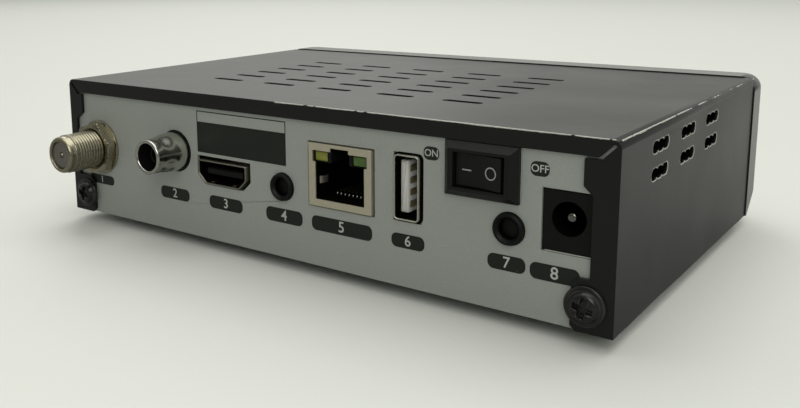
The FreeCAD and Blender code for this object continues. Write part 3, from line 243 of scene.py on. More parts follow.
GROUP_MAKERS = {
    "worn": worn_edges_group, "specks": specks_group, "grain": grain_group, "scratches": scratches_group,
}
GROUPS = {}


def place_group(nodes, key, **values):
    """Put a shared group, made once, into a material with its own values."""
    if key not in GROUPS:
        GROUPS[key] = GROUP_MAKERS[key]()
    placed = nodes.new("ShaderNodeGroup")
    placed.node_tree = GROUPS[key]
    for label, value in values.items():
        placed.inputs[label.replace("_", " ")].default_value = value
    return placed


# Finishes

def finish_material(name, colour, rough, metal=0.0, grain=2500.0, bump=0.04, drift=45.0, tone=0.08,
                    wear=0.0, wear_width=0.35, wear_colour=(0.45, 0.44, 0.42),
                    specks=None, speck_colour=(0.5, 0.5, 0.47),
                    scratches=0.0, coat=0.0, transmission=0.0, specular=0.5):
    """A finish with fine grain, drifting gloss and, where asked, worn edges, dust and scratches."""
    if name in bpy.data.materials:
        return bpy.data.materials[name]
    material = bpy.data.materials.new(name)
    material.use_nodes = True
    nodes, links = material.node_tree.nodes, material.node_tree.links
    shader = nodes["Principled BSDF"]
    for label, value in (("Metallic", metal), ("Specular IOR Level", specular), ("Coat Weight", coat),
                         ("Coat Roughness", 0.08), ("Transmission Weight", transmission)):
        shader.inputs[label].default_value = value
    surface = place_group(nodes, "grain", Scale=grain, Drift_Scale=drift, Drift_Low=rough[0],
                          Drift_High=rough[1])
    links.new(surface.outputs["Drift"], shader.inputs["Roughness"])
    relief = nodes.new("ShaderNodeBump")
    relief.inputs["Strength"].default_value = bump
    relief.inputs["Distance"].default_value = 0.2 * MM
    links.new(surface.outputs["Height"], relief.inputs["Height"])
    links.new(relief.outputs[0], shader.inputs["Normal"])

    fine = ramp(nodes, links, surface.outputs["Height"], 0.25, 0.8)
    over = [(fine, [c * (1 + tone) for c in colour])]
    if scratches:
        hair = place_group(nodes, "scratches", Amount=scratches)
        over.append((hair.outputs["Mask"], [c * 1.6 + 0.03 for c in colour]))
    if specks:
        dust = place_group(nodes, "specks", Scale=specks[0], Share=specks[1])
        over.append((dust.outputs["Mask"], speck_colour))
    if wear:
        rubbed = place_group(nodes, "worn", Width=wear_width * MM, Amount=wear)
        over.append((rubbed.outputs["Mask"], wear_colour))
    base = nodes.new("ShaderNodeRGB")
    base.outputs[0].default_value = (*colour, 1)
    shade = base.outputs[0]
    for mask, second in over:
        mix = nodes.new("ShaderNodeMix")
        mix.data_type = "RGBA"
        links.new(mask, mix.inputs[0])
        links.new(shade, mix.inputs[6])
        mix.inputs[7].default_value = (*(min(1, c) for c in second), 1)
        shade = mix.outputs[2]
    links.new(shade, shader.inputs["Base Color"])
    return material


def paint(thing, material):
    thing.data.materials.clear()
    thing.data.materials.append(material)


def cover_paint():
    return finish_material(
        "Cover black paint", colours().cover, (0.28, 0.38), grain=1500, bump=0.06, drift=30,
        specks=(560, 0.010), speck_colour=(0.14, 0.14, 0.13), scratches=0.15, specular=0.36)


def wall_paint():
    return finish_material(
        "Rear wall silver paint", colours().rear_wall, (0.44, 0.54), metal=0.2, grain=4200, bump=0.05,
        drift=25, wear=0.7, wear_width=0.2, wear_colour=(0.55, 0.56, 0.53), specks=(210, 0.03),
        speck_colour=(0.05, 0.05, 0.045), scratches=0.12, tone=0.12)


def black_moulding():
    return finish_material(
        "Black socket plastic", colours().moulding, (0.40, 0.54), grain=3000, bump=0.18, wear=0.4,
        wear_width=0.25, wear_colour=(0.025, 0.025, 0.024), specks=(420, 0.015),
        speck_colour=(0.1, 0.1, 0.095), specular=0.22)


# Painted shade: a near-black, almost glossless finish put inside bores, linings and mouths, where the inside
# lies in shade.
def painted_shade_black():
    return finish_material(
        "Unlit bore", (0.0015, 0.0015, 0.0015), (0.6, 0.7), grain=3000, bump=0.1, specular=0.04)


def front_plastic():
    return finish_material(
        "Front dark plastic", colours().front, (0.14, 0.22), grain=1200, bump=0.03, drift=20,
        specks=(260, 0.02), speck_colour=(0.2, 0.2, 0.19), coat=0.3)


def bare_edge():
    return finish_material(
        "Bare edge steel", (0.44, 0.45, 0.41), (0.4, 0.55), metal=0.3, grain=4000, bump=0.1, tone=0.3)


def warm_nickel():
    return finish_material(
        "Warm nickel", (0.35, 0.325, 0.24), (0.20, 0.32), metal=1.0, grain=3500, bump=0.05, drift=220,
        scratches=0.15, tone=0.10)


def bright_chrome():
    return finish_material(
        "Bright chrome", (0.52, 0.52, 0.47), (0.15, 0.22), metal=1.0, grain=900, bump=0.012, drift=150,
        scratches=0.08)


# Painted highlight: a pale metal for the network wire tips, standing for the glint on their bends.
def painted_highlight_nickel():
    return finish_material(
        "Painted highlight nickel", (0.62, 0.62, 0.58), (0.22, 0.32), metal=1.0, grain=3500, bump=0.03, drift=180)


def tin_plate():
    return finish_material(
        "Tin plate", (0.46, 0.43, 0.35), (0.28, 0.40), metal=0.9, grain=2600, bump=0.06, drift=120,
        scratches=0.2, tone=0.1, wear=0.5, wear_width=0.15, wear_colour=(0.70, 0.68, 0.60))


def gold_plate():
    return finish_material(
        "Gold plate", (0.60, 0.46, 0.22), (0.2, 0.3), metal=1.0, grain=3000, bump=0.02)


def dark_print():
    return finish_material(
        "Dark label ink", colours().print_dark, (0.38, 0.46), grain=5000, specks=(700, 0.02),
        speck_colour=(0.07, 0.07, 0.065), specular=0.25)


def pale_print():
    return finish_material(
        "Pale label ink", colours().print_light, (0.45, 0.55), grain=6000, tone=0.2, specular=0.25)


def mark_ink(name, colour):
    return finish_material(name, colour, (0.4, 0.5), grain=5000)


# Mesh tools: outlines and profiles are in mm, places in metres

def middle_of(node):
    """The middle of a node's box across the rear wall, at the level of its outer end."""
    low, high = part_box(node)
    return Vector(((low.x + high.x) / 2, high.y, (low.z + high.z) / 2))


def offset(place, x, y, z):
    return place + Vector((x, y, z)) * MM


def to_object(name, bm, material, body="case", smooth=True, angle=35):
    bmesh.ops.remove_doubles(bm, verts=bm.verts, dist=1e-7)
    bmesh.ops.recalc_face_normals(bm, faces=bm.faces)
    mesh = bpy.data.meshes.new(name)
    bm.to_mesh(mesh)
    bm.free()
    if smooth:
        mesh.shade_smooth()
        mesh.set_sharp_from_angle(angle=math.radians(angle))
    thing = bpy.data.objects.new(name, mesh)
    bpy.context.scene.collection.objects.link(thing)
    paint(thing, material)
    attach(thing, body)
    return thing


def soften(thing, width=None, segments=2):
    """Join a solid's seams and round its edges, by a width in mm."""
    join = thing.modifiers.new("Join seams", "WELD")
    join.merge_threshold = 1e-6
    edge = thing.modifiers.new("Round edges", "BEVEL")
    edge.width = sizes().edge_round if width is None else width * MM
    edge.segments = segments
    edge.limit_method = "ANGLE"
    edge.angle_limit = math.radians(30)
    edge.harden_normals = True
    edge.use_clamp_overlap = True


def join_rings(bm, rings):
    """Skin a row of closed rings; a ring of one point is a pole."""
    for first, second in zip(rings, rings[1:]):
        count = max(len(first), len(second))
        for step in range(count):
            after = (step + 1) % count
            if len(first) == 1:
                bm.faces.new((first[0], second[after], second[step]))
            elif len(second) == 1:
                bm.faces.new((first[step], first[after], second[0]))
            else:
                bm.faces.new((first[step], first[after], second[after], second[step]))


def ring_points(bm, centre, along, radius, count, upright=False):
    """A ring round a line along Y, or along Z where upright, at a distance along it."""
    ring = []
    for step in range(count if radius > 1e-6 else 1):
        turn = 2 * math.pi * step / count
        a, b = radius * math.cos(turn), radius * math.sin(turn)
        ring.append(bm.verts.new(offset(centre, a, b, along) if upright else offset(centre, a, along, b)))
    return ring


def turned(bm, centre, profile, segments=72, upright=False):
    """Revolve (distance along, radius) points."""
    join_rings(bm, [ring_points(bm, centre, along, radius, segments, upright) for along, radius in profile])


def arc_points(along, out, radius, start, end, count):
    """Points of an arc about (along, out), angles in degrees from outwards towards the rim."""
    turns = [math.radians(start + (end - start) * step / count) for step in range(count + 1)]
    return [(along + radius * math.cos(turn), out + radius * math.sin(turn)) for turn in turns]


def rounded_rectangle(width, height, radius, count=6):
    """Corner-rounded outline around the origin, in order."""
    points = []
    for sx, sz, start in ((1, 1, 0), (-1, 1, 90), (-1, -1, 180), (1, -1, 270)):
        cx = sx * (width / 2 - radius)
        cz = sz * (height / 2 - radius)
        for step in range(count + 1):
            turn = math.radians(start + 90 * step / count)
            points.append((cx + radius * math.cos(turn), cz + radius * math.sin(turn)))
    return points


def inset_outline(points, gap):
    """The outline moved inwards by gap, corner by corner."""
    moved = []
    count = len(points)
    for step, here in enumerate(points):
        before, after = points[step - 1], points[(step + 1) % count]
        first = Vector((here[0] - before[0], here[1] - before[1]))
        second = Vector((after[0] - here[0], after[1] - here[1]))
        first = first.normalized() if first.length > 1e-9 else second.normalized()
        second = second.normalized() if second.length > 1e-9 else first
        left = Vector((-first.y - second.y, first.x + second.x)).normalized()
        lean = max(0.4, left.dot(Vector((-first.y, first.x))))
        moved.append((here[0] + left.x * gap / lean, here[1] + left.y * gap / lean))
    return moved


def moved_outline(points, x, z):
    return [(a + x, b + z) for a, b in points]


def shell_rings(bm, centre, layers, cap_last=True, cap_first=False):
    """Join outlines given as (distance along Y, points) around centre into one skin."""
    rings = [[bm.verts.new(offset(centre, x, along, z)) for x, z in points] for along, points in layers]
    join_rings(bm, rings)
    if cap_last:
        bm.faces.new(rings[-1])
    if cap_first:
        bm.faces.new(rings[0])


def block(bm, low, high):
    made = bmesh.ops.create_cube(bm, size=1)["verts"]
    for vert in made:
        vert.co = Vector(low[i] + (vert.co[i] + 0.5) * (high[i] - low[i]) for i in range(3))
    return made


def writing(name, words, place, height, material):
    """Raised print: letters facing out of the rear wall, centred at place."""
    cap_share = 1.42
    curve = bpy.data.curves.new(name, "FONT")
    curve.body = words
    curve.size = height * cap_share
    curve.align_x = "CENTER"
    curve.align_y = "CENTER"
    curve.extrude = 0.01 * MM
    curve.offset = height * 0.012
    curve.resolution_u = 6
    thing = bpy.data.objects.new(name, curve)
    bpy.context.scene.collection.objects.link(thing)
    thing.matrix_world = Matrix.Translation(place) @ OUTWARD
    curve.materials.append(material)
    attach(thing, "case")
    return thing


# Case

def dress_case():
    for node, material, width in (("top_cover", cover_paint(), 0.12), ("base_chassis", wall_paint(), 0.10),
                                  ("front_bezel", front_plastic(), 0.25)):
        paint(frame["nodes"][node], material)
        soften(frame["nodes"][node], width)


def rubbed_width(seed, along, scale, gap):
    """Width of bare metal at a place: noise cut so that it thins out and stops in spots."""
    slow = noise.noise(Vector((along * 180, seed * 7.3, 1.7)))
    quick = noise.noise(Vector((along * 1500, seed * 3.1, 4.2)))
    return max(0.0, scale * (0.75 + 0.9 * slow + 0.75 * quick) - gap) * MM


def rubbed_line(bm, start, end, first, second, scale, seed, gap=0.0):
    """Bare metal along a fold from start to end, between the faces with outward normals first and second."""
    start, end, first, second = (Vector(v) for v in (start, end, first, second))
    length = (end - start).length
    count = max(2, int(length / (0.22 * MM)))
    lift = 0.012 * MM
    fold = 0.11 * MM
    previous = None
    for step in range(count + 1):
        here = start.lerp(end, step / count)
        one = rubbed_width(seed, length * step / count, scale, gap)
        two = rubbed_width(seed + 5, length * step / count, scale, gap)
        row = None
        if one + two > 0.05 * MM:
            row = [here - second * (fold + one) + first * lift,
                   here - second * fold * 0.75 - first * fold * 0.06 + first * lift,
                   here - (first + second) * fold * 0.27 + (first + second) * lift * 0.7,
                   here - first * fold * 0.75 - second * fold * 0.06 + second * lift,
                   here - first * (fold + two) + second * lift]
            row = [bm.verts.new(point) for point in row]
        if row and previous:
            for a, b, c, d in zip(previous, previous[1:], row, row[1:]):
                bm.faces.new((a, b, d, c))
        previous = row


def louvre_edges(source):
    """The cover's edges round the louvres of its -X face, each with the way that leads off the louvre."""
    flat = 0.01 * MM
    level = COVER_LOW.x
    low = offset(COVER_LOW, 0, 4, 8)
    high = offset(COVER_HIGH, 0, -4, -1.5)
    for edge in source.edges:
        places = [vert.co for vert in edge.verts]
        if any(abs(place.x - level) > flat for place in places):
            continue
        if any(not (low.y < place.y < high.y and low.z < place.z < high.z) for place in places):
            continue
        outer = [face for face in edge.link_faces if all(abs(v.co.x - level) < flat for v in face.verts)]
        if len(outer) != 1:
            continue
        line = (places[1] - places[0]).normalized()
        away = Vector((0, -line.z, line.y))
        if away.dot(outer[0].calc_center_median() - (places[0] + places[1]) / 2) < 0:
            away = -away
        yield edge, away


def louvre_rims(bm, width):
    """Bare metal round the side louvres, along the sheet's own outline."""
    node = frame["nodes"]["top_cover"]
    source = bmesh.new()
    source.from_mesh(node.data)
    source.transform(node.matrix_world)
    edges = list(louvre_edges(source))
    ways = {}
    for edge, away in edges:
        for vert in edge.verts:
            ways.setdefault(vert, Vector((0, 0, 0)))
            ways[vert] += away
    made = {}
    for vert, away in ways.items():
        size = width * (0.85 + 0.8 * noise.noise(vert.co * 900))
        made[vert] = []
        for lift, reach in ((-0.05, -0.02), (0.012, 0.05), (0.012, 0.05 + size)):
            spot = vert.co + away.normalized() * reach * MM
            made[vert].append(bm.verts.new((COVER_LOW.x - lift * MM, spot.y, spot.z)))
    for edge, _ in edges:
        one, two = (made[vert] for vert in edge.verts)
        for step in range(2):
            bm.faces.new((one[step], one[step + 1], two[step + 1], two[step]))
    source.free()


def rubbed_edges():
    low, high = COVER_LOW, COVER_HIGH
    up, down, back, left = (0, 0, 1), (0, 0, -1), (0, 1, 0), (-1, 0, 0)
    inner = Vector((2 * MM, high.y, high.z))
    corner = Vector((low.x, high.y, high.z))
    near, far = offset(corner, 0, -12, 0), offset(corner, 0, -34, 0)
    foot = Vector((low.x, high.y, low.z))
    bm = bmesh.new()
    rubbed_line(bm, offset(corner, 1, 0, 0), inner, up, back, 0.085, 1)
    rubbed_line(bm, inner, high, up, back, 0.05, 2, 0.05)
    rubbed_line(bm, corner, near, up, left, 0.16, 3)
    rubbed_line(bm, near, far, up, left, 0.10, 3)
    rubbed_line(bm, far, (low.x, low.y, high.z), up, left, 0.06, 4, 0.03)
    rubbed_line(bm, foot, low, left, down, 0.07, 6, 0.01)
    rubbed_line(bm, offset(foot, 0, 0, 1), corner, left, back, 0.05, 7, 0.045)
    louvre_rims(bm, 0.13)
    worn = to_object("rubbed_cover_edges", bm, bare_edge(), angle=60)


def build_screw(bm, place):
    """A pan head with a cross recess, on its washer, against the rear at place."""
    washer, head, height = 3.75, 2.9, 1.75
    arm_half, arm_reach, recess = 0.68, 1.9, 1.1
    rings, around = 26, 96
    tilt = math.radians(14)
    turned(bm, place, [(0, washer), (0.45, washer), (0.6, washer - 0.15), (0.62, head - 0.2)], 64)
    grid = []
    for ring in range(rings + 1):
        share = ring / rings
        radius = head * share
        dome = height - 0.5 * share ** 2 - 0.75 * max(0, share - 0.72) ** 2 / 0.08
        row = []
        for step in range(around):
            turn = 2 * math.pi * step / around
            across, along = radius * abs(math.cos(turn - tilt)), radius * abs(math.sin(turn - tilt))
            arm = 0.0
            for a, b in ((across, along), (along, across)):
                side = min(1, max(0, (arm_half - a) / 0.16))
                end = min(1, max(0, (arm_reach - b) / 0.25))
                arm = max(arm, side * end)
            row.append(bm.verts.new(offset(place, radius * math.cos(turn), dome - arm * recess,
                                           radius * math.sin(turn))))
        grid.append(row)
    grid.append([bm.verts.new((vert.co.x, place.y + 0.6 * MM, vert.co.z)) for vert in grid[-1]])
    join_rings(bm, grid)


def cover_screws():
    bm = bmesh.new()
    low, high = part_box("cover_screws")
    radius = (high.z - low.z) / 2
    for x in (low.x + radius, high.x - radius):
        build_screw(bm, Vector((x, REAR, (high.z + low.z) / 2)))
    steel = finish_material(
        "Black screw steel", (0.014, 0.0135, 0.013), (0.2, 0.32), metal=0.25, bump=0.12, wear=0.8,
        wear_width=0.2, wear_colour=(0.10, 0.095, 0.085), specular=0.6)
    screws = to_object("cover_screw_heads", bm, steel, angle=50)
    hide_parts("cover_screws")


def rubber_feet():
    bm = bmesh.new()
    low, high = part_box("rubber_feet")
    radius = 5.0
    profile = [(high.z / MM, radius * 0.98), (0.7, radius), *arc_points(0.6, radius - 0.6, 0.6, 90, 180, 6),
               (0, radius * 0.5), (0.15, radius * 0.45), (0.15, 0)]
    for x in (low.x + radius * MM, high.x - radius * MM):
        for y in (low.y + radius * MM, high.y - radius * MM):
            turned(bm, Vector((x, y, 0)), profile, 48, upright=True)
    rubber = finish_material("Foot rubber", (0.018, 0.018, 0.018), (0.7, 0.85), grain=1800, bump=0.35)
    feet = to_object("rubber_foot_pads", bm, rubber)
    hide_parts("rubber_feet")


# Aerial socket

def aerial_barrel(tip, nut_face):
    """The threaded barrel and its rounded nose, measured from the tip."""
    outer, around = 4.72, 96
    pitch, depth = sizes().thread_pitch / MM, sizes().thread_depth / MM
    start, end = nut_face - 0.3, -2.1
    run_out = pitch * 0.8
    rows = int((end - start) / (pitch / 8))
    bm = bmesh.new()
    rings = []
    for row in range(rows + 1):
        along = start + (end - start) * row / rows
        fade = max(0, min(1, (end - along) / run_out, (along - start) / run_out + 0.3))
        ring = []
        for step in range(around):
            ridge = abs(((along - start) / pitch - step / around) % 1.0 - 0.5) * 2
            radius = outer - depth * (1 - min(1, ridge * 1.25)) * fade
            turn = 2 * math.pi * step / around
            ring.append(bm.verts.new(offset(tip, radius * math.cos(turn), along, radius * math.sin(turn))))
        rings.append(ring)
    join_rings(bm, rings)
    nose = [(end, outer - 0.05), (end + 0.15, outer - 0.16), (-1.1, 4.5)]
    nose += arc_points(-0.85, 3.64, 0.85, 88, 8, 12)
    nose += [(0, 3.62), (-0.03, 3.45), (-0.2, 3.34), (-1.2, 3.31)]
    turned(bm, tip, nose, around)
    barrel = to_object("aerial_barrel", bm, warm_nickel(), angle=40)
    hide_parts("coax_barrel")


def aerial_nut(root, thickness):
    """A hexagon whose corners are rounded off towards both faces, and its counterbored hole."""
    count = 180
    half = sizes().nut_flats / MM / 2
    turns = [2 * math.pi * step / count for step in range(count)]
    circle = [(math.cos(turn), math.sin(turn)) for turn in turns]
    layers = []
    for share, limit in ((0, 6.35), (0.1, 6.7), (0.2, 7.2), (0.8, 7.2), (0.88, 6.75), (0.95, 6.4), (1, 6.1)):
        points = []
        for turn in turns:
            sector = (turn + math.radians(12)) % (math.pi / 3) - math.pi / 6
            radius = min(half / math.cos(sector), limit)
            points.append((radius * math.cos(turn), radius * math.sin(turn)))
        layers.append((thickness * share, points))
    for radius, back in ((5.35, 0.0), (4.85, 0.35), (4.6, 2.2)):
        layers.append((thickness - back, [(radius * a, radius * b) for a, b in circle]))
    bm = bmesh.new()
    shell_rings(bm, root, layers, cap_last=False)
    nut = to_object("aerial_nut", bm, warm_nickel(), angle=25)
    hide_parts("coax_nut")


def aerial_washer(centre):
    low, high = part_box("coax_washer")
    rim, thick = (high.x - low.x) / 2 / MM, (high.y - low.y) / MM
    bm = bmesh.new()
    turned(bm, Vector((centre.x, low.y, centre.z)),
           [(0, rim - 0.1), (0.1, rim), (thick - 0.12, rim), (thick, rim - 0.14), (thick, 5), (0, 4.8)], 96)
    washer = to_object("aerial_washer", bm, warm_nickel())
    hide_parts("coax_washer")


def aerial_middle(tip):
    """The insulating core and the contact in its hole, measured from the core's face."""
    bm = bmesh.new()
    turned(bm, tip, [(-4, 3.3), (-0.3, 3.3), (-0.1, 3.15), (-0.12, 1.5), (-0.2, 1.2), (-0.2, 0.75),
                     (-1.8, 0.62), (-4, 0.6)])
    grey = finish_material("Grey insulator", (0.105, 0.10, 0.085), (0.35, 0.5), grain=2600, bump=0.08)
    core = to_object("aerial_core", bm, grey)
    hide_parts("coax_core")

    bm = bmesh.new()
    turned(bm, tip, [(-3.95, 0.6), (-0.25, 0.55), (-0.05, 0.4), (-0.05, 0.22), (-0.55, 0.2)], 36)
    contact = to_object("aerial_contact", bm, warm_nickel())
    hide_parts("coax_contact")


def aerial_socket():
    centre = middle_of("coax_nut")
    root = Vector((centre.x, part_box("coax_nut")[0].y, centre.z))
    tip = Vector((centre.x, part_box("coax_barrel")[1].y, centre.z))
    aerial_barrel(tip, (centre.y - tip.y) / MM)
    aerial_nut(root, (centre.y - root.y) / MM)
    aerial_washer(centre)
    aerial_middle(Vector((centre.x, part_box("coax_core")[1].y, centre.z)))


# Digital audio socket

def phono_socket():
    tip = middle_of("rca_shell")
    wall, rear = (WALL - tip.y) / MM, (REAR - tip.y) / MM
    collar, sleeve, lip = 4.62, 4.08, 0.46
    taper_start, taper_length, taper_steps = rear + 1.8, 4.2, 24
    inner_back = rear + 2

    bm = bmesh.new()
    profile = [(wall + 0.25, collar - 0.06), (wall + 0.4, collar), (taper_start, collar)]
    for step in range(1, taper_steps + 1):
        share = step / taper_steps
        blend = share * share * (3 - 2 * share)
        profile.append((taper_start + taper_length * share, collar - (collar - sleeve) * blend))
    profile += arc_points(-lip, 3.64, lip, 90, -90, 16)
    turned(bm, tip, profile, 96)
    body = to_object("phono_sleeve", bm, bright_chrome(), angle=40)
    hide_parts("rca_shell")

    bm = bmesh.new()
    turned(bm, tip, [(-lip, 3.18), (-1.2, 3.06), (inner_back, 3.04), (inner_back, 2.2)], 96)
    lining = to_object("phono_lining", bm, black_moulding(), angle=40)

    bm = bmesh.new()
    turned(bm, tip, [(wall - 1.2, 4.82), (wall - 0.05, 4.82), (wall, 4.76), (wall, 4.4)], 80)
    mouth = rear + 5.0
    turned(bm, tip, [(inner_back, 2.3), (mouth, 2.3), (mouth + 0.15, 2.2), (mouth + 0.1, 2.0)], 80)
    housing_foot = (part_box("rca_moulding")[0].z - tip.z) / MM
    block(bm, offset(tip, -5.2, wall - 12.6, housing_foot), offset(tip, 5.2, wall - 0.85, 5.2))
    insert = to_object("phono_moulding", bm, black_moulding(), angle=40)
    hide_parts("rca_moulding")
    paint(frame["nodes"]["rca_contact"], finish_material(
        "Shaded contact", (0.10, 0.10, 0.09), (0.3, 0.45), metal=1.0, bump=0.05))
    soften(frame["nodes"]["rca_contact"], 0.08)


# Round jacks

def round_jack(node):
    low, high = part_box(node)
    tip = middle_of(node)
    wall = (WALL - tip.y) / MM
    nose, mouth, bore = 3.0, 1.95, 1.8
    bm = bmesh.new()
    profile = [(wall - 0.8, nose), (-0.45, nose), *arc_points(-0.4, nose - 0.4, 0.4, 90, 0, 7)]
    profile += [(0, 2.45), (-0.12, 2.36), (-0.45, 2.05), (-0.6, mouth)]
    turned(bm, tip, profile, 80)
    block(bm, low, (high.x, WALL - 0.85 * MM, high.z))
    jack = to_object(node + "_moulding", bm, black_moulding(), angle=40)
    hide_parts(node)
    # Painted shade: the bore past the mouth is drawn near-black for the shade inside it.
    bm = bmesh.new()
    turned(bm, tip, [(-0.6, mouth), (-0.75, bore + 0.03), (-9.6, bore), (-9.8, 0)])
    inside = to_object(node + "_bore", bm, painted_shade_black())


# Picture socket

def picture_outline(width, height, slant, shoulder):
    """Rectangle on its base line with slanted lower corners, each corner rounded."""
    w, radius, steps = width / 2, 0.45, 4
    corners = [(w, height), (-w, height), (-w, shoulder), (-w + slant, 0), (w - slant, 0), (w, shoulder)]
    corners = [Vector(corner) for corner in corners]
    points = []
    for step, here in enumerate(corners):
        before, after = corners[step - 1], corners[(step + 1) % len(corners)]
        first = here + (before - here).normalized() * radius
        second = here + (after - here).normalized() * radius
        for part in range(steps + 1):
            t = part / steps
            points.append(tuple(first * (1 - t) ** 2 + here * 2 * t * (1 - t) + second * t ** 2))
    return points


def picture_socket():
    low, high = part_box("hdmi_shell")
    face = Vector((middle_of("hdmi_shell").x, high.y, low.z))
    back = (low.y - high.y) / MM
    outer = picture_outline((high.x - low.x) / MM, (high.z - low.z) / MM, 2.3, 2.2)
    bm = bmesh.new()
    lip = inset_outline(outer, 0.34)
    shell_rings(bm, face, [(back, outer), (-0.1, outer), (0, inset_outline(outer, 0.09)),
                           (0, inset_outline(outer, 0.25)), (-0.1, lip), (back + 1.5, lip)],
                cap_last=True, cap_first=True)
    shell = to_object("picture_shell", bm, finish_material(
        "Dull shell steel", (0.33, 0.315, 0.26), (0.30, 0.42), metal=1.0, grain=2600, bump=0.06, drift=120,
        scratches=0.1), angle=45)
    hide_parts("hdmi_shell")

    level, thick = 2.95, 0.7
    tongue_half, bevel = 5.6, 0.15
    tongue = [(-tongue_half, -thick), (tongue_half, -thick), (tongue_half, thick - bevel),
              (tongue_half - bevel, thick), (bevel - tongue_half, thick), (-tongue_half, thick - bevel)]
    bm = bmesh.new()
    shell_rings(bm, offset(face, 0, 0, level), [(-10, tongue), (-1.3, tongue),
                                                (-1.15, inset_outline(tongue, 0.12))])
    insert = to_object("picture_tongue", bm, black_moulding(), angle=40)
    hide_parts("hdmi_tongue")

    # Painted shade: a near-black sheet inside the shell, for the shade within the socket.
    bm = bmesh.new()
    inner = inset_outline(outer, 0.42)
    shell_rings(bm, face, [(-0.25, inset_outline(outer, 0.36)), (-0.3, inner), (-10, inner)])
    lining = to_object("picture_inside_shade", bm, painted_shade_black(), angle=40)

    bm = bmesh.new()
    contacts, pitch = 19, 0.5
    for step in range(contacts):
        for side in (1, -1):
            x = (step - (contacts - 1) / 2 + (1 - side) / 4) * pitch
            z = level + side * thick
            block(bm, offset(face, x - 0.13, -9, z - 0.04), offset(face, x + 0.13, -1.6, z + 0.04))
    for x in (-3.4, 3.4):
        block(bm, offset(face, x - 0.5, -3, 0.5), offset(face, x + 0.5, -0.7, 0.62))
    strips = to_object("picture_contacts", bm, gold_plate(), smooth=False)


# Network socket

def network_lamp(node, colour, shift):
    """A lens and the black surround that it looks out of, shifted sideways in it."""
    low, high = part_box(node)
    centre = middle_of(node)
    back = (low.y - high.y) / MM
    material = finish_material(node.replace("_", " "), colour, (0.25, 0.35), grain=900, bump=0.05, coat=0.3,
                               transmission=0.15, tone=0.4)
    outline = moved_outline(rounded_rectangle(3.3, 2.1, 0.25), shift, 0)
    bm = bmesh.new()
    shell_rings(bm, centre, [(back, outline), (-0.3, outline), (-0.12, inset_outline(outline, 0.18))])
    lens = to_object(node + "_lens", bm, material, angle=50)
    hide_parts(node)
    rim = rounded_rectangle((high.x - low.x) / MM, (high.z - low.z) / MM, 0.1)
    inner = moved_outline(rounded_rectangle(3.36, 2.16, 0.25), shift, 0)
    bm = bmesh.new()
    shell_rings(bm, centre, [(back, rim), (-0.05, rim), (-0.02, inner), (back + 2, inner)], cap_last=False)
    surround = to_object(node + "_surround", bm, black_moulding(), angle=40)


def network_wires():
    """Eight wires painted dark as shade, and their bent tips painted pale as highlights where they catch the
    light.
    """
    low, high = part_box("net_wires")
    level = (low.z + high.z) / 2
    count = 8
    pitch = (high.x - low.x - 0.4 * MM) / (count - 1)
    length = (high.y - low.y) / MM
    shade = finish_material("Shaded wire", (0.03, 0.025, 0.012), (0.4, 0.5), metal=0.6, grain=3000, bump=0.05)
    bent = ((1.1, -0.35), (1.3, -0.25), (1.5, -0.35), (1.55, -0.55))
    for name, points, radius, material in (
            ("network_wires", ((-length, 0), (0.2, 0)), 0.2, shade),
            ("network_wire_tip_highlights", bent, 0.14, painted_highlight_nickel())):
        bm = bmesh.new()
        for step in range(count):
            root = Vector((low.x + 0.2 * MM + pitch * step, high.y, level))
            rings = [ring_points(bm, offset(root, 0, 0, rise), along, radius, 8) for along, rise in points]
            join_rings(bm, rings)
            bm.faces.new(rings[0])
            bm.faces.new(rings[-1])
        wires = to_object(name, bm, material, angle=60)
        if name == "network_wires":
            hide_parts("net_wires")


def network_spring():
    """The bent side spring of the shield, inside its +X wall."""
    low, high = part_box("net_shield")
    root = Vector(((low.x + high.x) / 2 + 6.2 * MM, high.y, low.z + 5.3 * MM))
    half, thickness = 0.75, 0.2
    points = ((0, -1.6), (-0.3, -2.0), (-0.7, -3.2), (-0.6, -3.8), (-0.2, -4.4))
    bm = bmesh.new()
    fore, back = [], []
    for x, y in points:
        fore.append([bm.verts.new(offset(root, x, y, z)) for z in (-half, half)])
        back.append([bm.verts.new(offset(root, x + thickness, y - 0.05, z)) for z in (-half, half)])
    for a, b, c, d in zip(fore, fore[1:], back, back[1:]):
        bm.faces.new((a[0], a[1], b[1], b[0]))
        bm.faces.new((c[0], d[0], d[1], c[1]))
        bm.faces.new((a[0], b[0], d[0], c[0]))
        bm.faces.new((a[1], c[1], d[1], b[1]))
    spring = to_object("network_side_spring", bm, tin_plate(), angle=30)


def network_socket():
    plate = finish_material(
        "Network shield plate", (0.56, 0.52, 0.40), (0.36, 0.48), metal=0.6, grain=2600, bump=0.06, drift=150,
        scratches=0.15, wear=0.8, wear_width=0.15, wear_colour=(0.72, 0.70, 0.62))
    # Painted shade: the network socket's moulding is drawn in the near-black shade finish, for the shade inside
    # the socket.
    for node, material in (("net_shield", plate), ("net_moulding", painted_shade_black())):
        paint(frame["nodes"][node], material)
        soften(frame["nodes"][node], 0.1)
    network_lamp("net_lamp_yellow", (0.20, 0.21, 0.025), 0.25)
    network_lamp("net_lamp_green", (0.06, 0.125, 0.022), -0.25)
    network_wires()
    network_spring()


# Memory socket

def memory_shell(face, back, outer):
    bm = bmesh.new()
    inner = inset_outline(outer, 0.32)
    shell_rings(bm, face, [(back, outer), (-0.12, outer), (0, inset_outline(outer, 0.1)),
                           (0, inset_outline(outer, 0.22)), (-0.12, inner), (back + 0.4, inner)],
                cap_last=True, cap_first=True)
    shell = to_object("memory_shell", bm, finish_material(
        "Memory shell nickel", (0.66, 0.64, 0.55), (0.22, 0.34), metal=0.9, grain=2600, drift=150,
        scratches=0.15), angle=45)
    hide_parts("usb_shell")


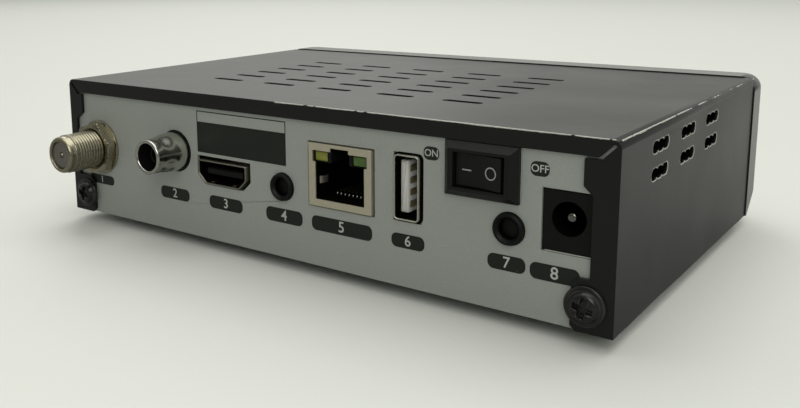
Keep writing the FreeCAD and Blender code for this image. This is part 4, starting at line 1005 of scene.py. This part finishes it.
def memory_inside_shade(face, width, height, outer):
    """Painted shade: the near-black inside, and a near-black sheet on the wall in the gap round the shell,
    which is wider above and on the supply side.
    """
    bm = bmesh.new()
    liner = inset_outline(outer, 0.36)
    shell_rings(bm, face, [(-0.16, inset_outline(outer, 0.3)), (-0.2, liner), (-12, liner)])
    # Painted shade: a near-black sheet laid on the wall round the shell, for the shade in the gap.
    wall = (WALL - face.y) / MM
    gap = moved_outline(rounded_rectangle(width + 0.95, height + 0.75, 1.2), -0.33, 0.1)
    shell_rings(bm, face, [(wall + 0.012, gap), (wall + 0.014, inset_outline(outer, -0.02))], cap_last=False)
    lining = to_object("memory_inside_shade", bm, painted_shade_black(), angle=40)


def memory_tongue(tip):
    """The white tongue with four strips on its -X side, measured from its tip."""
    thick, tall = 1.85, 10.6
    outline = rounded_rectangle(thick, tall, 0.3, 4)
    bm = bmesh.new()
    shell_rings(bm, offset(tip, thick / 2, 0, 0), [(-12, outline), (-0.45, outline),
                                                   (-0.1, inset_outline(outline, 0.22)),
                                                   (0, inset_outline(outline, 0.4))])
    white = finish_material("White tongue", (0.62, 0.62, 0.59), (0.38, 0.5), grain=2200, bump=0.05, tone=0.06)
    tongue = to_object("memory_tongue", bm, white, angle=50)
    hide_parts("usb_tongue")

    bm, dark = bmesh.new(), bmesh.new()
    count, pitch = 4, 2.4
    for step in range(count):
        z = pitch * (step - (count - 1) / 2)
        block(bm, offset(tip, -0.16, -4, z - 0.5), offset(tip, 0.02, -0.6, z + 0.5))
    for step in range(count + 1):
        for shift in (-0.62, 0.62):
            z = pitch * (step - count / 2) + shift
            block(dark, offset(tip, -0.03, -4, z - 0.05), offset(tip, 0.02, -0.9, z + 0.05))
    # Painted shade: a near-black sheet over the tongue's -X side deeper than 3.4 mm in, where the side lies in
    # shade.
    block(dark, offset(tip, -0.2, -12, -5.2), offset(tip, 0.02, -3.4, 5.2))
    strips = to_object("memory_strips", bm, finish_material(
        "Brassy strip", (0.34, 0.30, 0.17), (0.4, 0.5), metal=0.35, grain=2200), smooth=False)
    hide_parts("usb_strips")
    slots_and_shade = to_object("memory_tongue_slots_and_shade", dark, finish_material(
        "Tongue slot shade", (0.02, 0.02, 0.018), (0.5, 0.6), grain=2200, specular=0.1), smooth=False)


def memory_socket():
    low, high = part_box("usb_shell")
    face = middle_of("usb_shell")
    width, height = (high.x - low.x) / MM, (high.z - low.z) / MM
    outer = rounded_rectangle(width, height, 0.85)
    memory_shell(face, (low.y - high.y) / MM, outer)
    memory_inside_shade(face, width, height, outer)
    memory_tongue(Vector((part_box("usb_strips")[1].x, face.y - 1.2 * MM, face.z)))


# Power switch

ROCKER_HALF = 4.75
ROCKER_RISE = 0.35


def rocker_place():
    """Where the rocker's own axes stand at rest: its face's middle line, leaned to the pressed side."""
    joint = [j for j in frame["joints"] if j["child"] == "rocker"][0]
    lean = math.radians(-joint["range_deg"][1] / 2)
    turn = Matrix.Rotation(lean, 4, "Z")
    return Matrix.Translation(Vector(joint["pos_m"])) @ turn @ Matrix.Translation((0, 1.2 * MM, 0))


def rocker_spot(place, x, lift, z):
    """A place over the rocker's shallow V face, in mm on its own axes."""
    return place @ (Vector((x, ROCKER_RISE * abs(x) / ROCKER_HALF + lift, z)) * MM)


def power_switch():
    switch_black = finish_material(
        "Switch black plastic", (0.006, 0.006, 0.0063), (0.34, 0.46), grain=2800, bump=0.16, wear=0.4,
        wear_width=0.25, wear_colour=(0.028, 0.028, 0.027), specks=(380, 0.015),
        speck_colour=(0.12, 0.12, 0.12), specular=0.3)
    for node, width in (("switch_frame", 0.14), ("switch_rocker", 0.22)):
        paint(frame["nodes"][node], switch_black)
        soften(frame["nodes"][node], width, segments=3)

    place = rocker_place()
    middle, bar_half, bar_thick, around = 2.55, 0.95, 0.12, 48
    bm = bmesh.new()
    corners = [[bm.verts.new(rocker_spot(place, middle + x, lift, z)) for lift in (0.004, 0.03)]
               for x, z in ((-bar_half, -bar_thick), (bar_half, -bar_thick), (bar_half, bar_thick),
                            (-bar_half, bar_thick))]
    join_rings(bm, list(zip(*corners)))
    bm.faces.new([pair[0] for pair in corners])
    bm.faces.new([pair[1] for pair in corners])
    rings = []
    for radius, lift in ((0.98, 0.0), (0.98, 0.03), (1.2, 0.03), (1.2, 0.0)):
        turns = [2 * math.pi * step / around for step in range(around)]
        rings.append([bm.verts.new(rocker_spot(place, radius * math.cos(turn) - middle, lift,
                                               radius * math.sin(turn))) for turn in turns])
    join_rings(bm, rings)
    ink = mark_ink("Switch mark ink", (0.31, 0.315, 0.30))
    marks = to_object("rocker_marks", bm, ink, body="rocker", smooth=False)
    paint(frame["nodes"]["switch_terminals"], tin_plate())
    soften(frame["nodes"]["switch_terminals"], 0.08)


# Supply socket

def supply_socket():
    low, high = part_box("dc_socket")
    paint(frame["nodes"]["dc_socket"], black_moulding())
    soften(frame["nodes"]["dc_socket"], 0.18, segments=3)
    tip = middle_of("dc_pin")
    back = (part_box("dc_pin")[0].y - tip.y) / MM
    bm = bmesh.new()
    turned(bm, tip, [(back, 1.0), (-0.6, 1.0), *arc_points(-0.6, 0.4, 0.6, 90, 0, 8), (0, 0)], 48)
    pin = to_object("supply_pin", bm, finish_material(
        "Shaded pin", (0.22, 0.215, 0.20), (0.10, 0.18), metal=1.0, grain=2000, bump=0.02), angle=50)
    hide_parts("dc_pin")
    # Painted shade: the mouth and bore are drawn near-black for the shade inside the socket.
    bm = bmesh.new()
    turned(bm, Vector((tip.x, high.y, tip.z)), [(0.01, 3.3), (-0.25, 3.13), (-9, 3.12), (-9, 1.0)], 80)
    mouth = to_object("supply_mouth_shade", bm, painted_shade_black(), angle=40)

    bm = bmesh.new()
    edge, overlap = 0.13, 0.02
    back, face = WALL - 0.2 * MM, high.y + 0.03 * MM
    block(bm, (low.x - edge * MM, back, low.z - edge * MM), (low.x + overlap * MM, face, high.z - 0.4 * MM))
    block(bm, (low.x + overlap * MM, back, low.z - edge * MM), (high.x - 0.5 * MM, face, low.z + overlap * MM))
    sheet_edge = to_object("supply_cut_edge", bm, bare_edge(), smooth=False)


# Printed labels: name, place across, height above the base, width, height, words, in mm

LABELS = (
    ("label_1", 62.15, 9.0, 9.3, 2.4, "1"),
    ("label_2", 34.9, 9.3, 9.8, 2.95, "2"),
    ("label_3", 18.1, 9.3, 10.4, 3.05, "3"),
    ("label_4", 0.65, 9.4, 10.3, 3.2, "4"),
    ("label_5", -14.8, 9.45, 15.5, 3.2, "5"),
    ("label_6", -31.0, 9.45, 7.6, 2.9, "6"),
    ("label_7", -52.1, 9.35, 7.55, 2.95, "7"),
    ("label_8", -61.35, 9.2, 9.3, 3.1, "8"),
    ("label_on", -36.2, 27.8, 3.4, 2.6, "ON"),
    ("label_off", -58.1, 27.7, 3.55, 2.65, "OFF"),
)


def rear_labels():
    wall = Vector((0, WALL, BASE))
    stand = sizes().print_thickness / MM
    word_letter = 1.35 * MM
    bm = bmesh.new()
    for name, x, z, width, height, words in LABELS:
        outline = rounded_rectangle(width, height, min(height * 0.42, 1.25), 8)
        shell_rings(bm, offset(wall, x, 0, z), [(-0.02, outline), (stand, outline)])
        letter = min(sizes().label_letter, height * MM * 0.72) if words.isdigit() else word_letter
        text = writing(name + "_number", words, offset(wall, x, stand, z), letter, pale_print())
    plates = to_object("label_plates", bm, dark_print(), smooth=False)


def blank_field():
    """A dark field over the picture socket, with a bare head inside a thin frame."""
    wall = Vector((13.2 * MM, WALL, BASE))
    stand = sizes().print_thickness / MM
    half, line, band, low, high = 13.4, 0.22, 2.55, 20.6, 30.3
    bm = bmesh.new()
    for left, bottom, right, top in ((-half, low, half, high - band), (-half, high - line, half, high),
                                     (-half, high - band, line - half, high - line),
                                     (half - line, high - band, half, high - line)):
        block(bm, offset(wall, left, -0.02, bottom), offset(wall, right, stand, top))
    panel = to_object("blank_field", bm, dark_print(), smooth=False)


# Front

def key_mark(node, bm):
    """The power sign on the first key, and an arrow up or down on the others, as raised print."""
    low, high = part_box(node)
    face = Vector(((low.x + high.x) / 2, low.y, (low.z + high.z) / 2))
    if node == "standby_key":
        turned(bm, face, [(0, 1.05), (-0.03, 1.05), (-0.03, 0.8), (0, 0.8)], 40)
        block(bm, offset(face, -0.13, -0.05, 0.2), offset(face, 0.13, 0, 1.4))
        return
    way = 1 if node == "channel_up_key" else -1
    arrow = [(-1.0, -0.6 * way), (1.0, -0.6 * way), (0, 0.95 * way)]
    shell_rings(bm, face, [(0, arrow), (-0.03, arrow)])


def front_parts():
    nodes = frame["nodes"]
    window = finish_material(
        "Smoked window", (0.010, 0.009, 0.010), (0.05, 0.10), grain=700, bump=0.008, coat=0.5)
    paint(nodes["display_window"], window)
    soften(nodes["display_window"], 0.2)
    cap = finish_material(
        "Key cap plastic", (0.04, 0.04, 0.042), (0.22, 0.32), grain=1500, bump=0.06, coat=0.2, wear=0.4,
        wear_colour=(0.1, 0.1, 0.1))
    ink = mark_ink("Key mark ink", (0.45, 0.46, 0.45))
    for node in ("standby_key", "channel_down_key", "channel_up_key"):
        paint(nodes[node], cap)
        soften(nodes[node], 0.3, segments=3)
        bm = bmesh.new()
        key_mark(node, bm)
        mark = to_object(node + "_mark", bm, ink, body=node, smooth=False)


# Inside parts

def inside_parts():
    board = finish_material(
        "Board lacquer", (0.015, 0.09, 0.035), (0.3, 0.4), grain=1600, bump=0.1, tone=0.5,
        specks=(500, 0.2), speck_colour=(0.35, 0.33, 0.28))
    chip = finish_material("Chip resin", (0.02, 0.02, 0.021), (0.5, 0.6), grain=3000, bump=0.15)
    sink = finish_material(
        "Finned aluminium", (0.5, 0.5, 0.5), (0.35, 0.5), metal=0.9, grain=2000, bump=0.06)
    sleeve = finish_material("Can sleeve", (0.02, 0.025, 0.05), (0.3, 0.4), grain=1500, bump=0.05)
    plain = finish_material("Plain zinc steel", (0.45, 0.45, 0.43), (0.35, 0.45), metal=0.9, bump=0.05)
    red = finish_material(
        "Red lamp", (0.3, 0.01, 0.01), (0.2, 0.3), grain=900, bump=0.03, transmission=0.3)
    finishes = (
        (board, ("front_board", "main_board")),
        (chip, ("main_chip", "memory_chip", "store_chip", "network_isolator", "power_coils", "remote_eye",
                "digit_display")),
        (sink, ("heat_sink",)),
        (sleeve, ("capacitors",)),
        (plain, ("board_posts", "board_screws", "front_board_screws")),
        (tin_plate(), ("crystal_can", "tuner_can", "tuner_lid")),
        (black_moulding(), ("link_header", "tact_switch_1", "tact_switch_2", "tact_switch_3")),
        (red, ("standby_lamp",)),
    )
    for material, names in finishes:
        for name in names:
            paint(frame["nodes"][name], material)
            soften(frame["nodes"][name])


# Floor, light and camera

def floor_finish():
    """Pale floor, which mirrors see darker, and darkest on the sockets' side."""
    pale = finish_material(
        "Pale floor", colours().floor, (0.5, 0.6), grain=6000, bump=0.004, drift=6, specular=0.2)
    nodes, links = pale.node_tree.nodes, pale.node_tree.links
    place = nodes.new("ShaderNodeSeparateXYZ")
    links.new(nodes.new("ShaderNodeTexCoord").outputs["Object"], place.inputs[0])
    dim = nodes.new("ShaderNodeMix")
    dim.data_type = "RGBA"
    dim.inputs[6].default_value = (0.36, 0.36, 0.36, 1)
    dim.inputs[7].default_value = (0.72, 0.72, 0.72, 1)
    links.new(ramp(nodes, links, place.outputs["Y"], 0.12, -0.25), dim.inputs[0])
    shade = nodes.new("ShaderNodeMix")
    shade.data_type = "RGBA"
    shade.blend_type = "MULTIPLY"
    colour = nodes["Principled BSDF"].inputs["Base Color"]
    links.new(nodes.new("ShaderNodeLightPath").outputs["Is Glossy Ray"], shade.inputs[0])
    links.new(colour.links[0].from_socket, shade.inputs[6])
    links.new(dim.outputs[2], shade.inputs[7])
    links.new(shade.outputs[2], colour)
    return pale


def lay_floor():
    reach = 6.0
    mesh = bpy.data.meshes.new("floor")
    corners = [(-reach, -reach, 0), (reach, -reach, 0), (reach, reach, 0), (-reach, reach, 0)]
    mesh.from_pydata(corners, [], [(0, 1, 2, 3)])
    floor = bpy.data.objects.new("floor", mesh)
    bpy.context.scene.collection.objects.link(floor)
    floor.data.materials.append(floor_finish())


def fill_sky():
    """Soft light from all round, bright above and over the front, dark over the sockets."""
    world = bpy.data.worlds.new("Studio")
    bpy.context.scene.world = world
    world.use_nodes = True
    nodes, links = world.node_tree.nodes, world.node_tree.links
    back = nodes["Background"]
    back.inputs["Color"].default_value = (0.95, 0.965, 0.89, 1)
    lean = nodes.new("ShaderNodeVectorMath")
    lean.operation = "DOT_PRODUCT"
    lean.inputs[1].default_value = (0.0, -0.55, 0.75)
    links.new(nodes.new("ShaderNodeTexCoord").outputs["Generated"], lean.inputs[0])
    span = nodes.new("ShaderNodeMapRange")
    for label, value in (("From Min", -0.35), ("From Max", 0.75), ("To Min", 0.10), ("To Max", 0.66)):
        span.inputs[label].default_value = value
    links.new(lean.outputs["Value"], span.inputs["Value"])
    links.new(span.outputs["Result"], back.inputs["Strength"])


LAMPS = (
    ("overhead", (0.0, -0.25, 1.3), (0, 0, 0), 1.3, 8.7),
    ("far_side", (0.9, -0.9, 0.9), (0, 0, 0.02), 0.8, 3.6),
    ("near_fill", (-0.42, 0.55, 0.5), (-0.04, 0.04, 0.02), 0.5, 1.9),
)


def hang_lamps():
    """Square lamps, each with its place, what it faces, its size and its power."""
    for name, place, target, size, power in LAMPS:
        lamp = bpy.data.lights.new(name, "AREA")
        lamp.shape = "SQUARE"
        lamp.size = size
        lamp.energy = power
        lamp.color = (1.0, 0.99, 0.96)
        thing = bpy.data.objects.new(name, lamp)
        thing.location = place
        thing.rotation_euler = (Vector(target) - Vector(place)).to_track_quat("-Z", "Y").to_euler()
        bpy.context.scene.collection.objects.link(thing)


def set_camera():
    """A close camera behind the supply socket's corner, looking along the sockets."""
    camera = bpy.data.cameras.new("camera")
    camera.sensor_width = 36
    camera.lens = 40.0
    camera.shift_x = 0.0875
    camera.shift_y = -0.0988
    thing = bpy.data.objects.new("camera", camera)
    forward = Vector((0.5986, -0.78034, -0.18095)).normalized()
    right = forward.cross(Vector((0.10006, -0.15127, 0.98341))).normalized()
    turn = Matrix((right, right.cross(forward), -forward)).transposed().to_4x4()
    place = offset(Vector((0, REAR, BASE)), -120.78, 140.76, 63.63)
    thing.matrix_world = Matrix.Translation(place) @ turn
    bpy.context.scene.collection.objects.link(thing)
    bpy.context.scene.camera = thing


# Operators

class RECEIVER_OT_case(bpy.types.Operator):
    """Paint the cover, rear wall and front, rub the cover's folds, and fit screws and feet"""

    bl_idname = "receiver.case"
    bl_label = "Case"

    def execute(self, context):
        dress_case()
        rubbed_edges()
        cover_screws()
        rubber_feet()
        return {"FINISHED"}


class RECEIVER_OT_aerial(bpy.types.Operator):
    """Build the threaded aerial socket with its nut and washer"""

    bl_idname = "receiver.aerial"
    bl_label = "Aerial socket"

    def execute(self, context):
        aerial_socket()
        return {"FINISHED"}


class RECEIVER_OT_phono(bpy.types.Operator):
    """Build the digital audio phono socket"""

    bl_idname = "receiver.phono"
    bl_label = "Digital audio socket"

    def execute(self, context):
        phono_socket()
        return {"FINISHED"}


class RECEIVER_OT_picture(bpy.types.Operator):
    """Build the flat picture socket"""

    bl_idname = "receiver.picture"
    bl_label = "Picture socket"

    def execute(self, context):
        picture_socket()
        return {"FINISHED"}


class RECEIVER_OT_jacks(bpy.types.Operator):
    """Build the two round jacks"""

    bl_idname = "receiver.jacks"
    bl_label = "Round jacks"

    def execute(self, context):
        for node in ("av_jack", "data_jack"):
            round_jack(node)
        return {"FINISHED"}


class RECEIVER_OT_network(bpy.types.Operator):
    """Build the network socket's lamps, wires and spring"""

    bl_idname = "receiver.network"
    bl_label = "Network socket"

    def execute(self, context):
        network_socket()
        return {"FINISHED"}


class RECEIVER_OT_memory(bpy.types.Operator):
    """Build the upright memory socket"""

    bl_idname = "receiver.memory"
    bl_label = "Memory socket"

    def execute(self, context):
        memory_socket()
        return {"FINISHED"}


class RECEIVER_OT_switch(bpy.types.Operator):
    """Finish the rocker switch and print its marks"""

    bl_idname = "receiver.switch"
    bl_label = "Power switch"

    def execute(self, context):
        power_switch()
        return {"FINISHED"}


class RECEIVER_OT_supply(bpy.types.Operator):
    """Build the low voltage socket's pin and mouth"""

    bl_idname = "receiver.supply"
    bl_label = "Supply socket"

    def execute(self, context):
        supply_socket()
        return {"FINISHED"}


class RECEIVER_OT_labels(bpy.types.Operator):
    """Print the numbered labels and the blank field"""

    bl_idname = "receiver.labels"
    bl_label = "Printed labels"

    def execute(self, context):
        rear_labels()
        blank_field()
        return {"FINISHED"}


class RECEIVER_OT_front(bpy.types.Operator):
    """Finish the window and keys"""

    bl_idname = "receiver.front"
    bl_label = "Front"

    def execute(self, context):
        front_parts()
        return {"FINISHED"}


class RECEIVER_OT_inside(bpy.types.Operator):
    """Finish the boards and what stands on them"""

    bl_idname = "receiver.inside"
    bl_label = "Inside parts"

    def execute(self, context):
        inside_parts()
        return {"FINISHED"}


class RECEIVER_OT_stage(bpy.types.Operator):
    """Lay the floor, hang the lamps and set the camera"""

    bl_idname = "receiver.stage"
    bl_label = "Stage"

    def execute(self, context):
        lay_floor()
        fill_sky()
        hang_lamps()
        set_camera()
        context.scene.view_settings.view_transform = "Standard"
        return {"FINISHED"}


OPERATORS = (
    RECEIVER_OT_case, RECEIVER_OT_aerial, RECEIVER_OT_phono, RECEIVER_OT_picture, RECEIVER_OT_jacks,
    RECEIVER_OT_network, RECEIVER_OT_memory, RECEIVER_OT_switch, RECEIVER_OT_supply, RECEIVER_OT_labels,
    RECEIVER_OT_front, RECEIVER_OT_inside, RECEIVER_OT_stage,
)


class RECEIVER_PT_panel(bpy.types.Panel):
    """Receiver pieces"""

    bl_label = "Receiver"
    bl_idname = "RECEIVER_PT_panel"
    bl_space_type = "VIEW_3D"
    bl_region_type = "UI"
    bl_category = "Receiver"

    def draw(self, context):
        for settings in (context.scene.receiver_sizes, context.scene.receiver_colours):
            for name in settings.__annotations__:
                self.layout.prop(settings, name)
        for operator in OPERATORS:
            self.layout.operator(operator.bl_idname)


CLASSES = (ReceiverSizes, ReceiverColours, *OPERATORS, RECEIVER_PT_panel)


def register():
    for cls in CLASSES:
        bpy.utils.register_class(cls)
    bpy.types.Scene.receiver_sizes = PointerProperty(type=ReceiverSizes)
    bpy.types.Scene.receiver_colours = PointerProperty(type=ReceiverColours)


def unregister():
    del bpy.types.Scene.receiver_colours
    del bpy.types.Scene.receiver_sizes
    for cls in reversed(CLASSES):
        bpy.utils.unregister_class(cls)


def main():
    register()
    bpy.ops.receiver.case()
    bpy.ops.receiver.aerial()
    bpy.ops.receiver.phono()
    bpy.ops.receiver.picture()
    bpy.ops.receiver.jacks()
    bpy.ops.receiver.network()
    bpy.ops.receiver.memory()
    bpy.ops.receiver.switch()
    bpy.ops.receiver.supply()
    bpy.ops.receiver.labels()
    bpy.ops.receiver.front()
    bpy.ops.receiver.inside()
    bpy.ops.receiver.stage()


if __name__ == "__main__":
    main()
